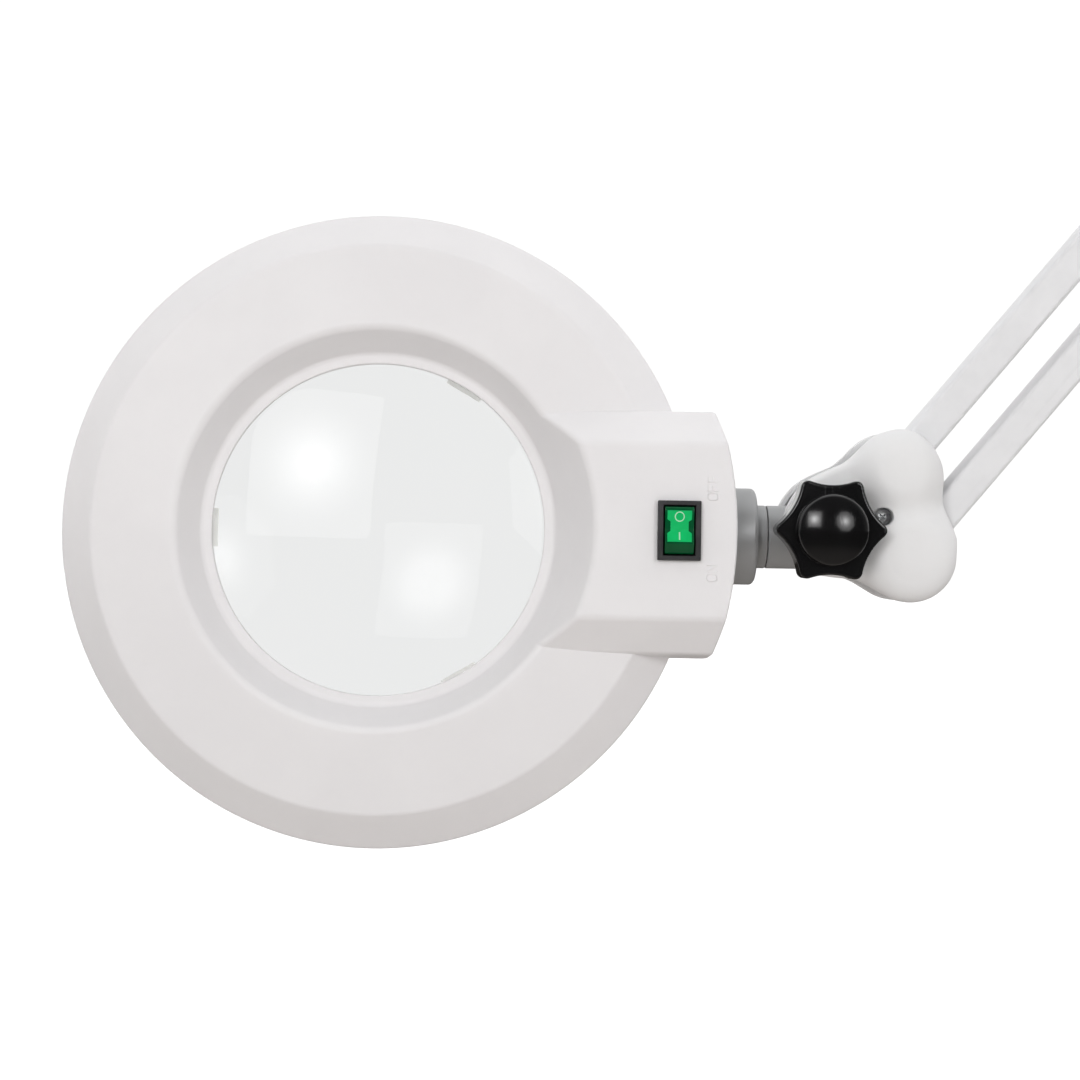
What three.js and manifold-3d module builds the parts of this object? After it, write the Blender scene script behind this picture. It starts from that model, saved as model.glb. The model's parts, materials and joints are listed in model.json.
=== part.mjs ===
// A bench magnifying lamp: a round lamp head with a glass lens, a swivel and tilt joint, two parallelogram
// arms and a table clamp. Millimetres. The lamp is drawn in front-view axes, x right, y up and z towards the
// viewer, and the root group turns them so that +Z is up. The origin is the middle of the face that rests on
// the table top. Each sub-part is one named mesh.
import * as THREE from "three";
import { mergeVertices } from "three/addons/utils/BufferGeometryUtils.js";
import Module from "manifold-3d";

const wasm = await Module();
wasm.setup();

// ---------------------------------------------------------------- driving dimensions
const GAP = 0.3; // air between pieces that touch
const degrees = THREE.MathUtils.degToRad;

const LENS = { radius: 63.5, seen: 59.7, edge: 3, curvature: 346, seat: 2.3, shelf: 6.3 };
const RING = { crest: 71.2, bevel: 101.4, rim: 114.5, crestZ: 20, bevelZ: 17, rimZ: 5, lipZ: 8, baseZ: -18 };
const WALL = 2.3;
const NECK = { top: 30, halfTop: 30.7, half: 44.6, apex: 127.1, endRadius: 132 };
const SHOULDER = { z: 18, half: 43.1 };
const SWITCH = { x: 106.6, width: 15.3, height: 20.9, hole: [13.3, 19.1], body: [12.9, 18.7], lean: 7 };
const TUBE_LAMP = { orbit: 91, radius: 13.8, wall: 1, z: -0.8, gap: 16.4 };
const FLANGE = { radius: 17.5, face: 135.9, collar: 139.5, collarRadius: 11.4 };
const TILT = { x: 159.4, y: 2.75 }; // the tilt bolt, from the lens centre
const HEAD_TWIST = -3; // degrees about the neck, so that the lens looks slightly up

const ARM = { length: 380, width: 11.6, depth: 18, wall: 1.2, end: 7, pinRadius: 3 };
const UPPER_ANGLE = 50.4; // degrees above horizontal, from the head to the elbow
const LOWER_ANGLE = 100; // degrees above horizontal, from the base to the elbow
const PIVOT_UPPER = [26.3, 21.6]; // the head joint's pivots, from the tilt bolt
const PIVOT_LOWER = [30.9, -9.6];
const COVER_SCREW = [19.8, 5];
const HEAD_DOMES = [[26, 22.1, 14.2], [30.3, -8.9, 16.3]];
const LINK_SPREAD = 31; // between the lower arm's two pivots
const PLATE = { inner: 9.4, thickness: 2, headRadius: 13 };
const COVER = { back: 11.7, front: 17.5, wall: 2, dome: 24.5 };

const BASE_AXIS = 14; // x of the vertical pin
const BASE_PIVOT_Y = 84;
const CLAMP = { half: 18, jaw: -28, spine: 26, back: 34, top: 10, boss: 44, floor: -72, lower: -60, pad: 2 };
const PRESS = { top: -30, radius: 13, thickness: 5 };
const SCREW = { radius: 6, end: -118 };

// ---------------------------------------------------------------- places worked out from them
const basePivots = {
  left: [BASE_AXIS - LINK_SPREAD / 2, BASE_PIVOT_Y],
  right: [BASE_AXIS + LINK_SPREAD / 2, BASE_PIVOT_Y],
};
const along = (point, angle, distance) => [
  point[0] + distance * Math.cos(degrees(angle)),
  point[1] + distance * Math.sin(degrees(angle)),
];
const plus = (a, b) => [a[0] + b[0], a[1] + b[1]];
const minus = (a, b) => [a[0] - b[0], a[1] - b[1]];
const elbowLower = {
  left: along(basePivots.left, LOWER_ANGLE, ARM.length),
  right: along(basePivots.right, LOWER_ANGLE, ARM.length),
};
const elbowUpper = { lower: plus(elbowLower.left, [-22, 14]) };
elbowUpper.upper = plus(elbowUpper.lower, minus(PIVOT_UPPER, PIVOT_LOWER));
const tiltBolt = minus(along(elbowUpper.upper, UPPER_ANGLE, -ARM.length), PIVOT_UPPER);
const headPivots = { upper: plus(tiltBolt, PIVOT_UPPER), lower: plus(tiltBolt, PIVOT_LOWER) };
const lensCentre = minus(tiltBolt, [TILT.x, TILT.y]);

// ---------------------------------------------------------------- materials
const plastic = (color, roughness = 0.4) => new THREE.MeshStandardMaterial({ color, roughness, metalness: 0 });
const metal = (color, roughness = 0.3) => new THREE.MeshStandardMaterial({ color, roughness, metalness: 1 });
const MATERIALS = {
  whiteShell: plastic(0xf0eff1),
  whiteCover: plastic(0xf1f1f3, 0.5),
  whitePaint: plastic(0xeeeef1, 0.45),
  greyPaint: plastic(0xa4a6a8, 0.4),
  frosted: plastic(0xf4f6f6, 0.6),
  glass: new THREE.MeshStandardMaterial({ color: 0xf4fbfa, roughness: 0.02, opacity: 0.35, transparent: true }),
  lampGlass: plastic(0xfbfbf6, 0.25),
  blackKnob: plastic(0x0b0b0c, 0.15),
  blackFrame: plastic(0x1b191b, 0.55),
  green: plastic(0x0a9a3c, 0.2),
  steel: metal(0xb9bcc0),
  rubber: plastic(0x202022, 0.9),
  board: plastic(0x1f5c33, 0.6),
  copper: metal(0xb5653a),
};

// ---------------------------------------------------------------- shape helpers
// A closed geometry as a solid for joining and cutting.
function solid(geometry) {
  const plain = geometry.clone();
  plain.deleteAttribute("normal");
  plain.deleteAttribute("uv");
  const merged = mergeVertices(plain, 1e-4);
  const corners = merged.index.array;
  const kept = [];
  for (let i = 0; i < corners.length; i += 3) {
    const [a, b, c] = corners.slice(i, i + 3);
    if (a !== b && b !== c && c !== a) kept.push(a, b, c);
  }
  const vertProperties = merged.attributes.position.array;
  return new wasm.Manifold(new wasm.Mesh({ numProp: 3, vertProperties, triVerts: new Uint32Array(kept) }));
}

function geometryOf(made) {
  const mesh = made.getMesh();
  const geometry = new THREE.BufferGeometry();
  geometry.setAttribute("position", new THREE.BufferAttribute(mesh.vertProperties.slice(), 3));
  geometry.setIndex(new THREE.BufferAttribute(mesh.triVerts.slice(), 1));
  geometry.computeVertexNormals();
  return geometry;
}

const join = (...pieces) => geometryOf(pieces.map(solid).reduce((a, b) => a.add(b)));
const cut = (base, ...tools) => geometryOf(tools.map(solid).reduce((a, b) => a.subtract(b), solid(base)));
const common = (a, b) => geometryOf(solid(a).intersect(solid(b)));

// A profile [[radius, height], ...] turned about z. It starts and ends on the axis, or closes on itself.
function revolve(profile, segments = 24) {
  const points = profile.map(([r, h]) => new THREE.Vector2(r, h));
  if (THREE.ShapeUtils.area(points) < 0) points.reverse();
  if (profile[0][0] > 0) points.push(points[0].clone());
  return new THREE.LatheGeometry(points, segments).rotateX(Math.PI / 2);
}

const upright = (radius, from, to, segments = 14) =>
  new THREE.CylinderGeometry(radius, radius, to - from, segments).translate(0, (from + to) / 2, 0);
const rod = (radius, from, to, segments = 12) => upright(radius, from, to, segments).rotateX(Math.PI / 2);
const bar = (x0, x1, y0, y1, z0, z1) =>
  new THREE.BoxGeometry(x1 - x0, y1 - y0, z1 - z0).translate((x0 + x1) / 2, (y0 + y1) / 2, (z0 + z1) / 2);
function slab(shape, from, to, curveSegments = 8) {
  const options = { depth: to - from, bevelEnabled: false, curveSegments };
  return new THREE.ExtrudeGeometry(shape, options).translate(0, 0, from);
}
const at = (geometry, [x, y], z = 0) => geometry.translate(x, y, z);

const circlePoints = ([x, y, r], steps) =>
  Array.from({ length: steps }, (_, i) => {
    const a = (2 * Math.PI * i) / steps;
    return new THREE.Vector2(x + r * Math.cos(a), y + r * Math.sin(a));
  });

// The convex outline round several circles [x, y, radius].
function wrap(circles, steps = 14) {
  const points = circles.flatMap((c) => circlePoints(c, steps)).sort((p, q) => p.x - q.x || p.y - q.y);
  const half = (list) => {
    const chain = [];
    for (const p of list) {
      while (chain.length > 1 && turn(chain.at(-2), chain.at(-1), p) < 1e-6) chain.pop();
      chain.push(p);
    }
    return chain.slice(0, -1);
  };
  return new THREE.Shape([...half(points), ...half([...points].reverse())]);
}

const turn = (a, b, c) => (b.x - a.x) * (c.y - a.y) - (b.y - a.y) * (c.x - a.x);

function rectangle(width, height, x = 0, y = 0) {
  const shape = new THREE.Shape();
  shape.moveTo(x - width / 2, y - height / 2);
  shape.lineTo(x + width / 2, y - height / 2);
  shape.lineTo(x + width / 2, y + height / 2);
  shape.lineTo(x - width / 2, y + height / 2);
  return shape;
}

// ---------------------------------------------------------------- lamp head, drawn about the lens centre
const coneSlope = (RING.crest - (LENS.seen + 3.8)) / (RING.crestZ - RING.lipZ);
const lipRadius = LENS.seen + 3.8;
const coneRadius = (z) => lipRadius + coneSlope * (z - RING.lipZ);
const wellRadius = LENS.radius + 0.5;
const RING_STEPS = 44;

// The well over the lens, from the lip up through the top of the neck.
const viewingCone = () =>
  revolve([[0, RING.lipZ], [lipRadius, RING.lipZ], [coneRadius(40), 40], [0, 40]], RING_STEPS);

function neckPlan(inset, start) {
  const radius = NECK.endRadius - inset;
  const centre = NECK.apex - NECK.endRadius;
  const half = NECK.half - inset;
  const sweep = Math.asin(half / radius);
  const shape = new THREE.Shape();
  shape.moveTo(start, half);
  shape.lineTo(start, -half);
  shape.absarc(centre, 0, radius, -sweep, sweep, false);
  return shape;
}

// The neck box: its section across the neck, run along the neck, and cut to its plan.
function neckBlock(inset, start, bottom) {
  const top = NECK.top - inset;
  const section = new THREE.Shape([
    new THREE.Vector2(-(NECK.half - inset), bottom),
    new THREE.Vector2(NECK.half - inset, bottom),
    new THREE.Vector2(NECK.half - inset, RING.rimZ - inset),
    new THREE.Vector2(SHOULDER.half - inset, SHOULDER.z - inset * 0.6),
    new THREE.Vector2(NECK.halfTop - inset * 0.4, top),
    new THREE.Vector2(-(NECK.halfTop - inset * 0.4), top),
    new THREE.Vector2(-(SHOULDER.half - inset), SHOULDER.z - inset * 0.6),
    new THREE.Vector2(-(NECK.half - inset), RING.rimZ - inset),
  ]);
  // Turned so that the section's first axis is y and its second is z.
  const run = slab(section, start, NECK.apex + 5).rotateY(Math.PI / 2).rotateX(Math.PI / 2);
  return common(run, slab(neckPlan(inset, start), bottom, NECK.top + 5, 14));
}

function upperHousing() {
  const { crest, bevel, rim, crestZ, bevelZ, rimZ, lipZ, baseZ } = RING;
  const ring = revolve(
    [
      [LENS.seen, lipZ], [lipRadius, lipZ], [crest, crestZ], [bevel, bevelZ], [rim, rimZ], [rim, baseZ],
      [wellRadius, baseZ], [wellRadius, LENS.shelf], [LENS.seen, LENS.shelf],
    ],
    RING_STEPS,
  );
  const well = revolve([[0, baseZ - 1], [wellRadius, baseZ - 1], [wellRadius, lipZ], [0, lipZ]], RING_STEPS);
  const neck = cut(neckBlock(0, 60, baseZ), viewingCone(), well);
  const channel = revolve(
    [
      [wellRadius + WALL, baseZ - 1], [wellRadius + WALL, lipZ - 0.2], [crest + 1.4, crestZ - WALL - 0.2],
      [bevel - 0.9, bevelZ - WALL], [rim - WALL, rimZ - 1], [rim - WALL, baseZ - 1],
    ],
    RING_STEPS,
  );
  const innerCone = revolve(
    [
      [0, baseZ - 2], [wellRadius + WALL, baseZ - 2], [lipRadius + 2.8, lipZ], [coneRadius(40) + 2.8, 40],
      [0, 40],
    ],
    RING_STEPS,
  );
  const neckSpace = cut(neckBlock(WALL, 60, baseZ - 1), innerCone);
  const rib = common(
    revolve([[rim - WALL, baseZ], [rim - WALL, -6], [rim, -6], [rim, baseZ]], RING_STEPS),
    neckBlock(0, 60, baseZ),
  );
  const shortWell = revolve(
    [[wellRadius - 1, baseZ - 1], [wellRadius - 1, baseZ + 3], [wellRadius + WALL + 1, baseZ + 3],
      [wellRadius + WALL + 1, baseZ - 1]],
    RING_STEPS,
  );
  const [across, long] = SWITCH.hole.map((size) => size / 2);
  const switchHole = bar(SWITCH.x - across, SWITCH.x + across, -long, long, 20, 40);
  const neckHole = rod(7.4, 110, 140).rotateY(Math.PI / 2);
  return cut(join(cut(join(ring, neck), channel, neckSpace), rib), shortWell, switchHole, neckHole);
}

// The tray that closes the neck from below, outside the light ring.
function neckCover() {
  const drop = 5;
  const bottom = RING.baseZ - GAP - drop;
  const outside = slab(neckPlan(0.4, 92), bottom, RING.baseZ - GAP, 14);
  const bevelled = common(outside, slab(neckPlan(0.4, 92), bottom, RING.baseZ, 14));
  const inside = slab(neckPlan(0.4 + WALL, 80), bottom + 2, RING.baseZ, 14);
  const round = rod(RING.rim + 2 * GAP, bottom - 1, RING.baseZ + 1, RING_STEPS);
  const roundWall = common(
    revolve(
      [[RING.rim + GAP, bottom], [RING.rim + GAP, RING.baseZ - GAP], [RING.rim + 2.4, RING.baseZ - GAP],
        [RING.rim + 2.4, bottom]],
      RING_STEPS,
    ),
    outside.clone(),
  );
  return join(cut(cut(bevelled, round), inside), roundWall);
}

function lightCover() {
  const top = RING.baseZ + 2.6;
  return revolve(
    [
      [wellRadius - 1.6, top - 2], [wellRadius - 1.6, top], [RING.rim - WALL - GAP, top],
      [RING.rim - WALL - GAP, top - 2],
    ],
    RING_STEPS,
  );
}

// A biconvex lens: one arc of its curvature on each side of the edge.
function lens() {
  const steps = 4;
  const height = (r) => Math.sqrt(LENS.curvature ** 2 - r ** 2);
  const rise = (r) => height(r) - height(LENS.radius);
  const radii = Array.from({ length: steps + 1 }, (_, i) => (LENS.radius * i) / steps);
  const upper = radii.map((r) => [r, LENS.seat + LENS.edge + rise(r)]);
  const lower = radii.map((r) => [r, LENS.seat - rise(r)]).reverse();
  return revolve([...upper, ...lower], 36);
}

// A clip that hooks over the lens edge from below.
function lensClip() {
  const halfLength = 6.9;
  const tab = bar(57.4, 63, -halfLength, halfLength, LENS.seat - 2.8, LENS.seat - 1.4);
  const leg = bar(62.2, 63.3, -halfLength + 1, halfLength - 1, -12, LENS.seat - 1.4);
  return join(tab, leg);
}

// The ring tube, open inside its base, with its gap on the neck side.
function ringLamp() {
  const half = degrees(TUBE_LAMP.gap / 2);
  const route = new THREE.Curve();
  route.getPoint = (t) => {
    const a = half + t * (2 * Math.PI - 2 * half);
    return new THREE.Vector3(TUBE_LAMP.orbit * Math.cos(a), TUBE_LAMP.orbit * Math.sin(a), 0);
  };
  const section = new THREE.Shape(circlePoints([0, 0, TUBE_LAMP.radius], 8));
  section.holes.push(new THREE.Path(circlePoints([0, 0, TUBE_LAMP.radius - TUBE_LAMP.wall * 2], 5)));
  return new THREE.ExtrudeGeometry(section, { steps: 26, bevelEnabled: false, extrudePath: route })
    .translate(0, 0, TUBE_LAMP.z);
}

// The plastic base that joins the tube's two ends.
const lampBase = () => bar(77, 104.5, -10.2, 10.2, -14.6, 12.4);
const lampSocket = () => bar(104.8, 111, -9, 9, -14.6, 3);

// A sprung steel clip that opens downwards round the tube.
function lampClip() {
  const inner = TUBE_LAMP.radius + 0.8;
  const shape = new THREE.Shape();
  const from = degrees(-20);
  const to = degrees(200);
  shape.absarc(0, 0, inner + 0.8, from, to, false);
  shape.absarc(0, 0, inner, to, from, true);
  return slab(shape, -4, 4, 10).rotateX(Math.PI / 2).translate(TUBE_LAMP.orbit, 0, TUBE_LAMP.z);
}

function switchBody() {
  const { x, width, height, body } = SWITCH;
  const top = NECK.top + GAP;
  const frame = bar(x - width / 2, x + width / 2, -height / 2, height / 2, top, top + 2);
  const box = bar(x - body[0] / 2, x + body[0] / 2, -body[1] / 2, body[1] / 2, 14.6, top + 1);
  const well = bar(x - 5.5, x + 5.5, -8.7, 8.7, 21, 40);
  const blade = bar(x + 2, x + 2.8, -7, -2, 7, 16);
  const otherBlade = bar(x + 2, x + 2.8, 2, 7, 7, 16);
  return join(cut(join(frame, box), well), blade, otherBlade);
}

// The rocker is a shallow V of two faces, leaning with its upper end pressed in.
function switchRocker() {
  const half = 8.2;
  const section = new THREE.Shape([
    new THREE.Vector2(-half, -3), new THREE.Vector2(half, -3), new THREE.Vector2(half, 2.6),
    new THREE.Vector2(0, 1.4), new THREE.Vector2(-half, 2.6),
  ]);
  return slab(section, -5.1, 5.1).rotateY(Math.PI / 2).rotateX(Math.PI / 2);
}

function ballastBoard() {
  return bar(74.5, 97.5, -27, 27, 15.6, 17.2);
}

const swivelFlange = () => {
  const disc = rod(FLANGE.radius, 120, FLANGE.face, 32).rotateY(Math.PI / 2);
  const collar = rod(FLANGE.collarRadius, 130, FLANGE.collar, 24).rotateY(Math.PI / 2);
  const shell = rod(NECK.endRadius + GAP, -30, 30, 96).translate(NECK.apex - NECK.endRadius, 0, 0);
  const hole = rod(7.4, 100, 150).rotateY(Math.PI / 2);
  return cut(join(disc, collar), shell, hole);
};

// The casting between neck and bracket: a spigot in the neck, a round shank, and a flat eye round the tilt bolt.
function tiltKnuckle() {
  const eyeHalf = PLATE.inner - 0.7;
  const clear = PLATE.headRadius + 0.8;
  const spigot = rod(7, 114.8, FLANGE.collar + 2).rotateY(Math.PI / 2);
  const shank = rod(FLANGE.collarRadius, FLANGE.collar + 0.6, TILT.x - clear + 3, 24).rotateY(Math.PI / 2);
  const eye = at(rod(12.5, -eyeHalf, eyeHalf, 20), [TILT.x, TILT.y]);
  const web = bar(FLANGE.collar + 2, TILT.x, -8.6, 10.6, -eyeHalf, eyeHalf);
  const bore = at(rod(4.4, -20, 20), [TILT.x, TILT.y]);
  const clearance = at(rod(clear, -30, 30, 32), [TILT.x, TILT.y]);
  return cut(join(spigot, cut(shank, clearance), eye, web), bore);
}

const swivelNut = () => cut(rod(10, 115.4, 121.2, 6), rod(7.2, 110, 125)).rotateY(Math.PI / 2);
const swivelWasher = () => cut(rod(10.5, 121.5, 123.2, 24), rod(7.3, 110, 125)).rotateY(Math.PI / 2);

// ---------------------------------------------------------------- joints of the arms
// A cover's solid: an outline slab with a dome over each pivot [x, y, radius].
function coverBody(outline, domes, inset) {
  const front = COVER.front - inset;
  const base = slab(outline, COVER.back - (inset ? 1 : 0), front, 6);
  const steps = 3;
  const dome = ([x, y, r]) => {
    const shoulder = COVER.front - 2;
    const height = COVER.dome - shoulder - inset;
    const bow = Array.from({ length: steps }, (_, i) => {
      const a = (Math.PI / 2) * (i / steps);
      return [(r - inset) * Math.cos(a), shoulder + height * Math.sin(a)];
    });
    const foot = COVER.back - (inset ? 1 : 0);
    return at(revolve([[0, foot], [r - inset, foot], ...bow, [0, shoulder + height]], 14), [x, y]);
  };
  return join(base, ...domes.map(dome));
}

function cover(outline, innerOutline, domes, ...tools) {
  return cut(coverBody(outline, domes, 0), coverBody(innerOutline, domes, COVER.wall), ...tools);
}

function plate(circles, holes) {
  const body = slab(wrap(circles), PLATE.inner, PLATE.inner + PLATE.thickness);
  return cut(body, ...holes.map(([x, y, r]) => at(rod(r, 0, 30), [x, y])));
}

// A pivot bolt with a low round head in front and a nut behind.
function pivotBolt() {
  const head = PLATE.inner + PLATE.thickness + GAP;
  return join(
    rod(ARM.pinRadius, -head - 0.5, head + 0.5),
    rod(5, head, head + 2.4, 12),
    rod(5.2, -head - 4, -head, 6),
  );
}

// A pan-head screw that holds a front cover to its plate.
const coverScrew = () =>
  join(rod(1.5, PLATE.inner, COVER.front + 1), rod(2.7, COVER.front + GAP, COVER.front + 2, 20));

// The head joint's cover: a blunt end round the tilt bolt, widening to the two pivots.
const HEAD_COVER = [
  [26, -17.3], [13, -17.3], [3, -16.9], [-1.5, -15.8], [-5, -13.9], [-8.6, -11.4], [-11.6, -8.2], [-13.7, -4.2],
  [-14.7, 0.5], [-14.5, 5], [-12.9, 9.6], [-9.4, 14.9], [-5.2, 18.5], [-0.4, 20.9], [5.2, 23.3], [12.7, 26.8],
  [22, 31], [38, 24], [40.2, 19.5], [41.3, 12.3], [44.2, 0.4], [45, -4],
];
function headCoverOutline(inset) {
  const points = HEAD_COVER.map(([x, y]) => new THREE.Vector2(x, y));
  return new THREE.Shape(points.map((p, i) => {
    const before = points.at(i - 1);
    const after = points[(i + 1) % points.length];
    const side = after.clone().sub(before).normalize();
    return p.clone().add(new THREE.Vector2(side.y, -side.x).multiplyScalar(inset));
  }));
}

const headCover = (...tools) =>
  cover(headCoverOutline(0), headCoverOutline(COVER.wall), HEAD_DOMES, rod(4.5, 0, 40, 20), ...tools);
const screwHole = () => at(join(rod(1.8, 0, 40), rod(3.1, COVER.front, 40, 20)), COVER_SCREW);
const headPlate = () =>
  plate([[0, 0, PLATE.headRadius], [...PIVOT_UPPER, 9], [...PIVOT_LOWER, 9.5]],
    [[0, 0, 4.4], [...PIVOT_UPPER, 3.3], [...PIVOT_LOWER, 3.3], [...COVER_SCREW, 1.8]]);

const elbowPoints = [elbowUpper.upper, elbowUpper.lower, elbowLower.left, elbowLower.right]
  .map((p) => minus(p, elbowLower.left));
const elbowCircles = (r) => elbowPoints.map(([x, y]) => [x, y, r]);
const elbowCover = () => cover(wrap(elbowCircles(12.6)), wrap(elbowCircles(10.6)), elbowCircles(14.6));
const elbowPlate = () => plate(elbowCircles(9), elbowCircles(3.3));

const basePoints = [[-LINK_SPREAD / 2, 0], [LINK_SPREAD / 2, 0]];
const baseFoot = [[-9, -26, 5], [9, -26, 5]];
const baseCircles = (r, inset) => [
  ...basePoints.map(([x, y]) => [x, y, r]),
  ...baseFoot.map(([x, y, foot]) => [x, y, foot - inset]),
];
const baseDomes = basePoints.map(([x, y]) => [x, y, 14.6]);
const baseCover = () => cover(wrap(baseCircles(12.6, 0)), wrap(baseCircles(10.6, 2)), baseDomes);

// The base yoke is a bent steel fork: two cheeks and a floor with the pin's hole.
function baseYoke() {
  const circles = baseCircles(9, 1);
  const cheek = slab(wrap(circles), PLATE.inner, PLATE.inner + PLATE.thickness);
  const floor = bar(-13, 13, -30, -26.5, -PLATE.inner - 1, PLATE.inner + 1);
  const bores = basePoints.map((p) => at(rod(3.3, -30, 30), p));
  return cut(join(cheek, slab(wrap(circles), -PLATE.inner - PLATE.thickness, -PLATE.inner), floor),
    ...bores, upright(4.3, -40, -20));
}

// The pin that turns in the clamp: collar on top, riveted through the yoke's floor.
function basePin() {
  const neck = BASE_PIVOT_Y - 30; // the underside of the yoke's floor
  return join(
    upright(6, CLAMP.top + 4, CLAMP.boss + 3, 24),
    upright(10.5, CLAMP.boss + 2 + GAP, neck - GAP, 24),
    upright(4, neck - 1, neck + 7),
    upright(6.5, neck + 3.5 + GAP, neck + 6.5),
  );
}

// One arm tube from its lower pivot to its upper one, drawn along x.
function armTube(spring) {
  const { length, width, depth, wall, end, pinRadius } = ARM;
  const section = rectangle(depth, width);
  section.holes.push(rectangle(depth - 2 * wall, width - 2 * wall));
  const tube = slab(section, -end, length + end).rotateY(Math.PI / 2);
  const holes = [0, length].map((x) => at(rod(pinRadius + GAP, -20, 20, 12), [x, 0]));
  return cut(tube, ...holes, ...(spring ? [at(rod(1.8, -20, 20, 10), [SPRING.anchor, 0])] : []));
}

// The balance spring lies inside a tube: closed coils between two eyes.
const SPRING = { from: 46, to: 236, radius: 4.2, anchor: 246 };
function balanceSpring() {
  const { from, to, radius } = SPRING;
  const coil = cut(rod(radius, from, to, 14), rod(radius - 1.2, from - 1, to - 4, 14)).rotateY(Math.PI / 2);
  const anchorEye = bar(SPRING.to - 1, SPRING.anchor - 2.4, -0.6, 0.6, -0.6, 0.6);
  const drawRod = join(bar(14, SPRING.from + 1, -0.6, 0.6, -3.9, -2.7), bar(12, 14.5, -2.4, 2.4, -3.9, -2.7));
  return join(coil, anchorEye, drawRod);
}

// ---------------------------------------------------------------- tilt knob
// Six rounded points with hollow sides between them.
function starOutline(tip, waist, steps = 8) {
  const points = [];
  for (let i = 0; i < 6 * steps; i++) {
    const a = (2 * Math.PI * i) / (6 * steps);
    const off = Math.abs((((a * 3) / Math.PI + 0.5) % 1) - 0.5) * 2; // 0 at a point, 1 half way to the next
    const r = waist + (tip - waist) * (1 - off) ** 1.7;
    points.push(new THREE.Vector2(r * Math.cos(a), r * Math.sin(a)));
  }
  return new THREE.Shape(points);
}

const KNOB = { back: COVER.front + 0.6, star: 21, front: 33, dome: 40.5, tip: 19.4, waist: 15.2 };
function starKnob() {
  const bow = Array.from({ length: 4 }, (_, i) => {
    const a = (Math.PI / 2) * (i / 4);
    return [12.4 * Math.cos(a), KNOB.front - 0.5 + (KNOB.dome - KNOB.front + 0.5) * Math.sin(a)];
  });
  const dome = revolve([[0, KNOB.star + 1], [12.4, KNOB.star + 1], ...bow, [0, KNOB.dome]], 20);
  const star = slab(starOutline(KNOB.tip, KNOB.waist), KNOB.star, KNOB.front);
  return cut(join(rod(10, KNOB.back, KNOB.star + 1, 24), star, dome), rod(4.4, KNOB.back - 1, 31.4));
}

const tiltBoltShape = () =>
  join(rod(4, -COVER.front - 1, 31), rod(8.5, -COVER.front - 4.2, -COVER.front - GAP, 24));

// ---------------------------------------------------------------- table clamp
function clampFrame() {
  const { half, jaw, spine, back, top, boss, floor, lower, pad } = CLAMP;
  const outline = new THREE.Shape([
    [jaw, pad + GAP], [jaw, top], [back, top], [back, floor], [-14, floor], [-14, lower], [spine, lower],
    [spine, pad + GAP],
  ].map(([x, y]) => new THREE.Vector2(x, y)));
  const body = slab(outline, -half, half);
  const socket = upright(13, top - 1, boss, 24).translate(BASE_AXIS, 0, 0);
  const nut = upright(12, floor - 6, lower, 20);
  const lockBoss = rod(6, 10, 17).rotateY(Math.PI / 2).translate(BASE_AXIS, 28, 0);
  return cut(
    join(body, socket, nut, lockBoss),
    upright(8.3, top - 2, boss + 1, 24).translate(BASE_AXIS, 0, 0),
    upright(SCREW.radius + GAP, floor - 10, lower + 1, 16),
    rod(2.8, 5, 30).rotateY(Math.PI / 2).translate(BASE_AXIS, 28, 0),
  );
}

const jawPad = () => bar(CLAMP.jaw + 1, CLAMP.spine - 1, 0, CLAMP.pad, -CLAMP.half + 1, CLAMP.half - 1);

function socketBush() {
  const { top, boss } = CLAMP;
  const body = join(upright(8, top, boss + 1, 20), upright(11.5, boss + GAP, boss + 2, 20));
  const lockHole = rod(2.8, 0, 30).rotateY(Math.PI / 2).translate(0, 28, 0);
  return cut(body, upright(6 + GAP, top + 3, boss + 5, 20), lockHole).translate(BASE_AXIS, 0, 0);
}

// A knurled thumb screw that locks the pin in its socket.
function lockScrew() {
  const shank = rod(2.5, 6.4, 20);
  const head = slab(new THREE.Shape(circlePoints([0, 0, 8], 18)), 18, 29);
  return join(shank, head).rotateY(Math.PI / 2).translate(BASE_AXIS, 28, 0);
}

function pressurePad() {
  const { top, radius, thickness } = PRESS;
  const dish = revolve(
    [[0, top], [radius, top], [radius, top - thickness], [8.5, top - thickness - 4], [0, top - thickness - 4]], 20,
  ).rotateX(-Math.PI / 2);
  return cut(dish, upright(4.3, top - 20, top - 4, 20));
}

function clampScrew() {
  const hub = SCREW.end;
  return cut(
    join(
      upright(4, PRESS.top - 12, PRESS.top - 4 - GAP, 20),
      upright(SCREW.radius, hub + 4, PRESS.top - PRESS.thickness - 4 - GAP, 24),
      upright(9, hub, hub + 14, 24),
    ),
    rod(3.3, -20, 20).translate(0, hub + 7, 0),
  );
}

// The sliding bar in the screw's hub, with a ball at each end.
const tommyBar = () =>
  join(
    rod(3, -30, 30, 14),
    ...[-1, 1].map((side) => new THREE.SphereGeometry(5, 10, 6).translate(0, 0, side * 32)),
  ).translate(0, SCREW.end + 7, 0);

// ---------------------------------------------------------------- assembly
const lamp = new THREE.Group();
lamp.rotation.x = Math.PI / 2; // front-view axes to +Z up

function group(parent, [x, y], turnAbout = {}) {
  const made = new THREE.Group();
  made.position.set(x, y, 0);
  made.rotation.set(degrees(turnAbout.x ?? 0), 0, degrees(turnAbout.z ?? 0));
  parent.add(made);
  return made;
}

function add(parent, name, geometry, material) {
  const mesh = new THREE.Mesh(geometry, material);
  mesh.name = name;
  parent.add(mesh);
  return mesh;
}

const M = MATERIALS;

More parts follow.
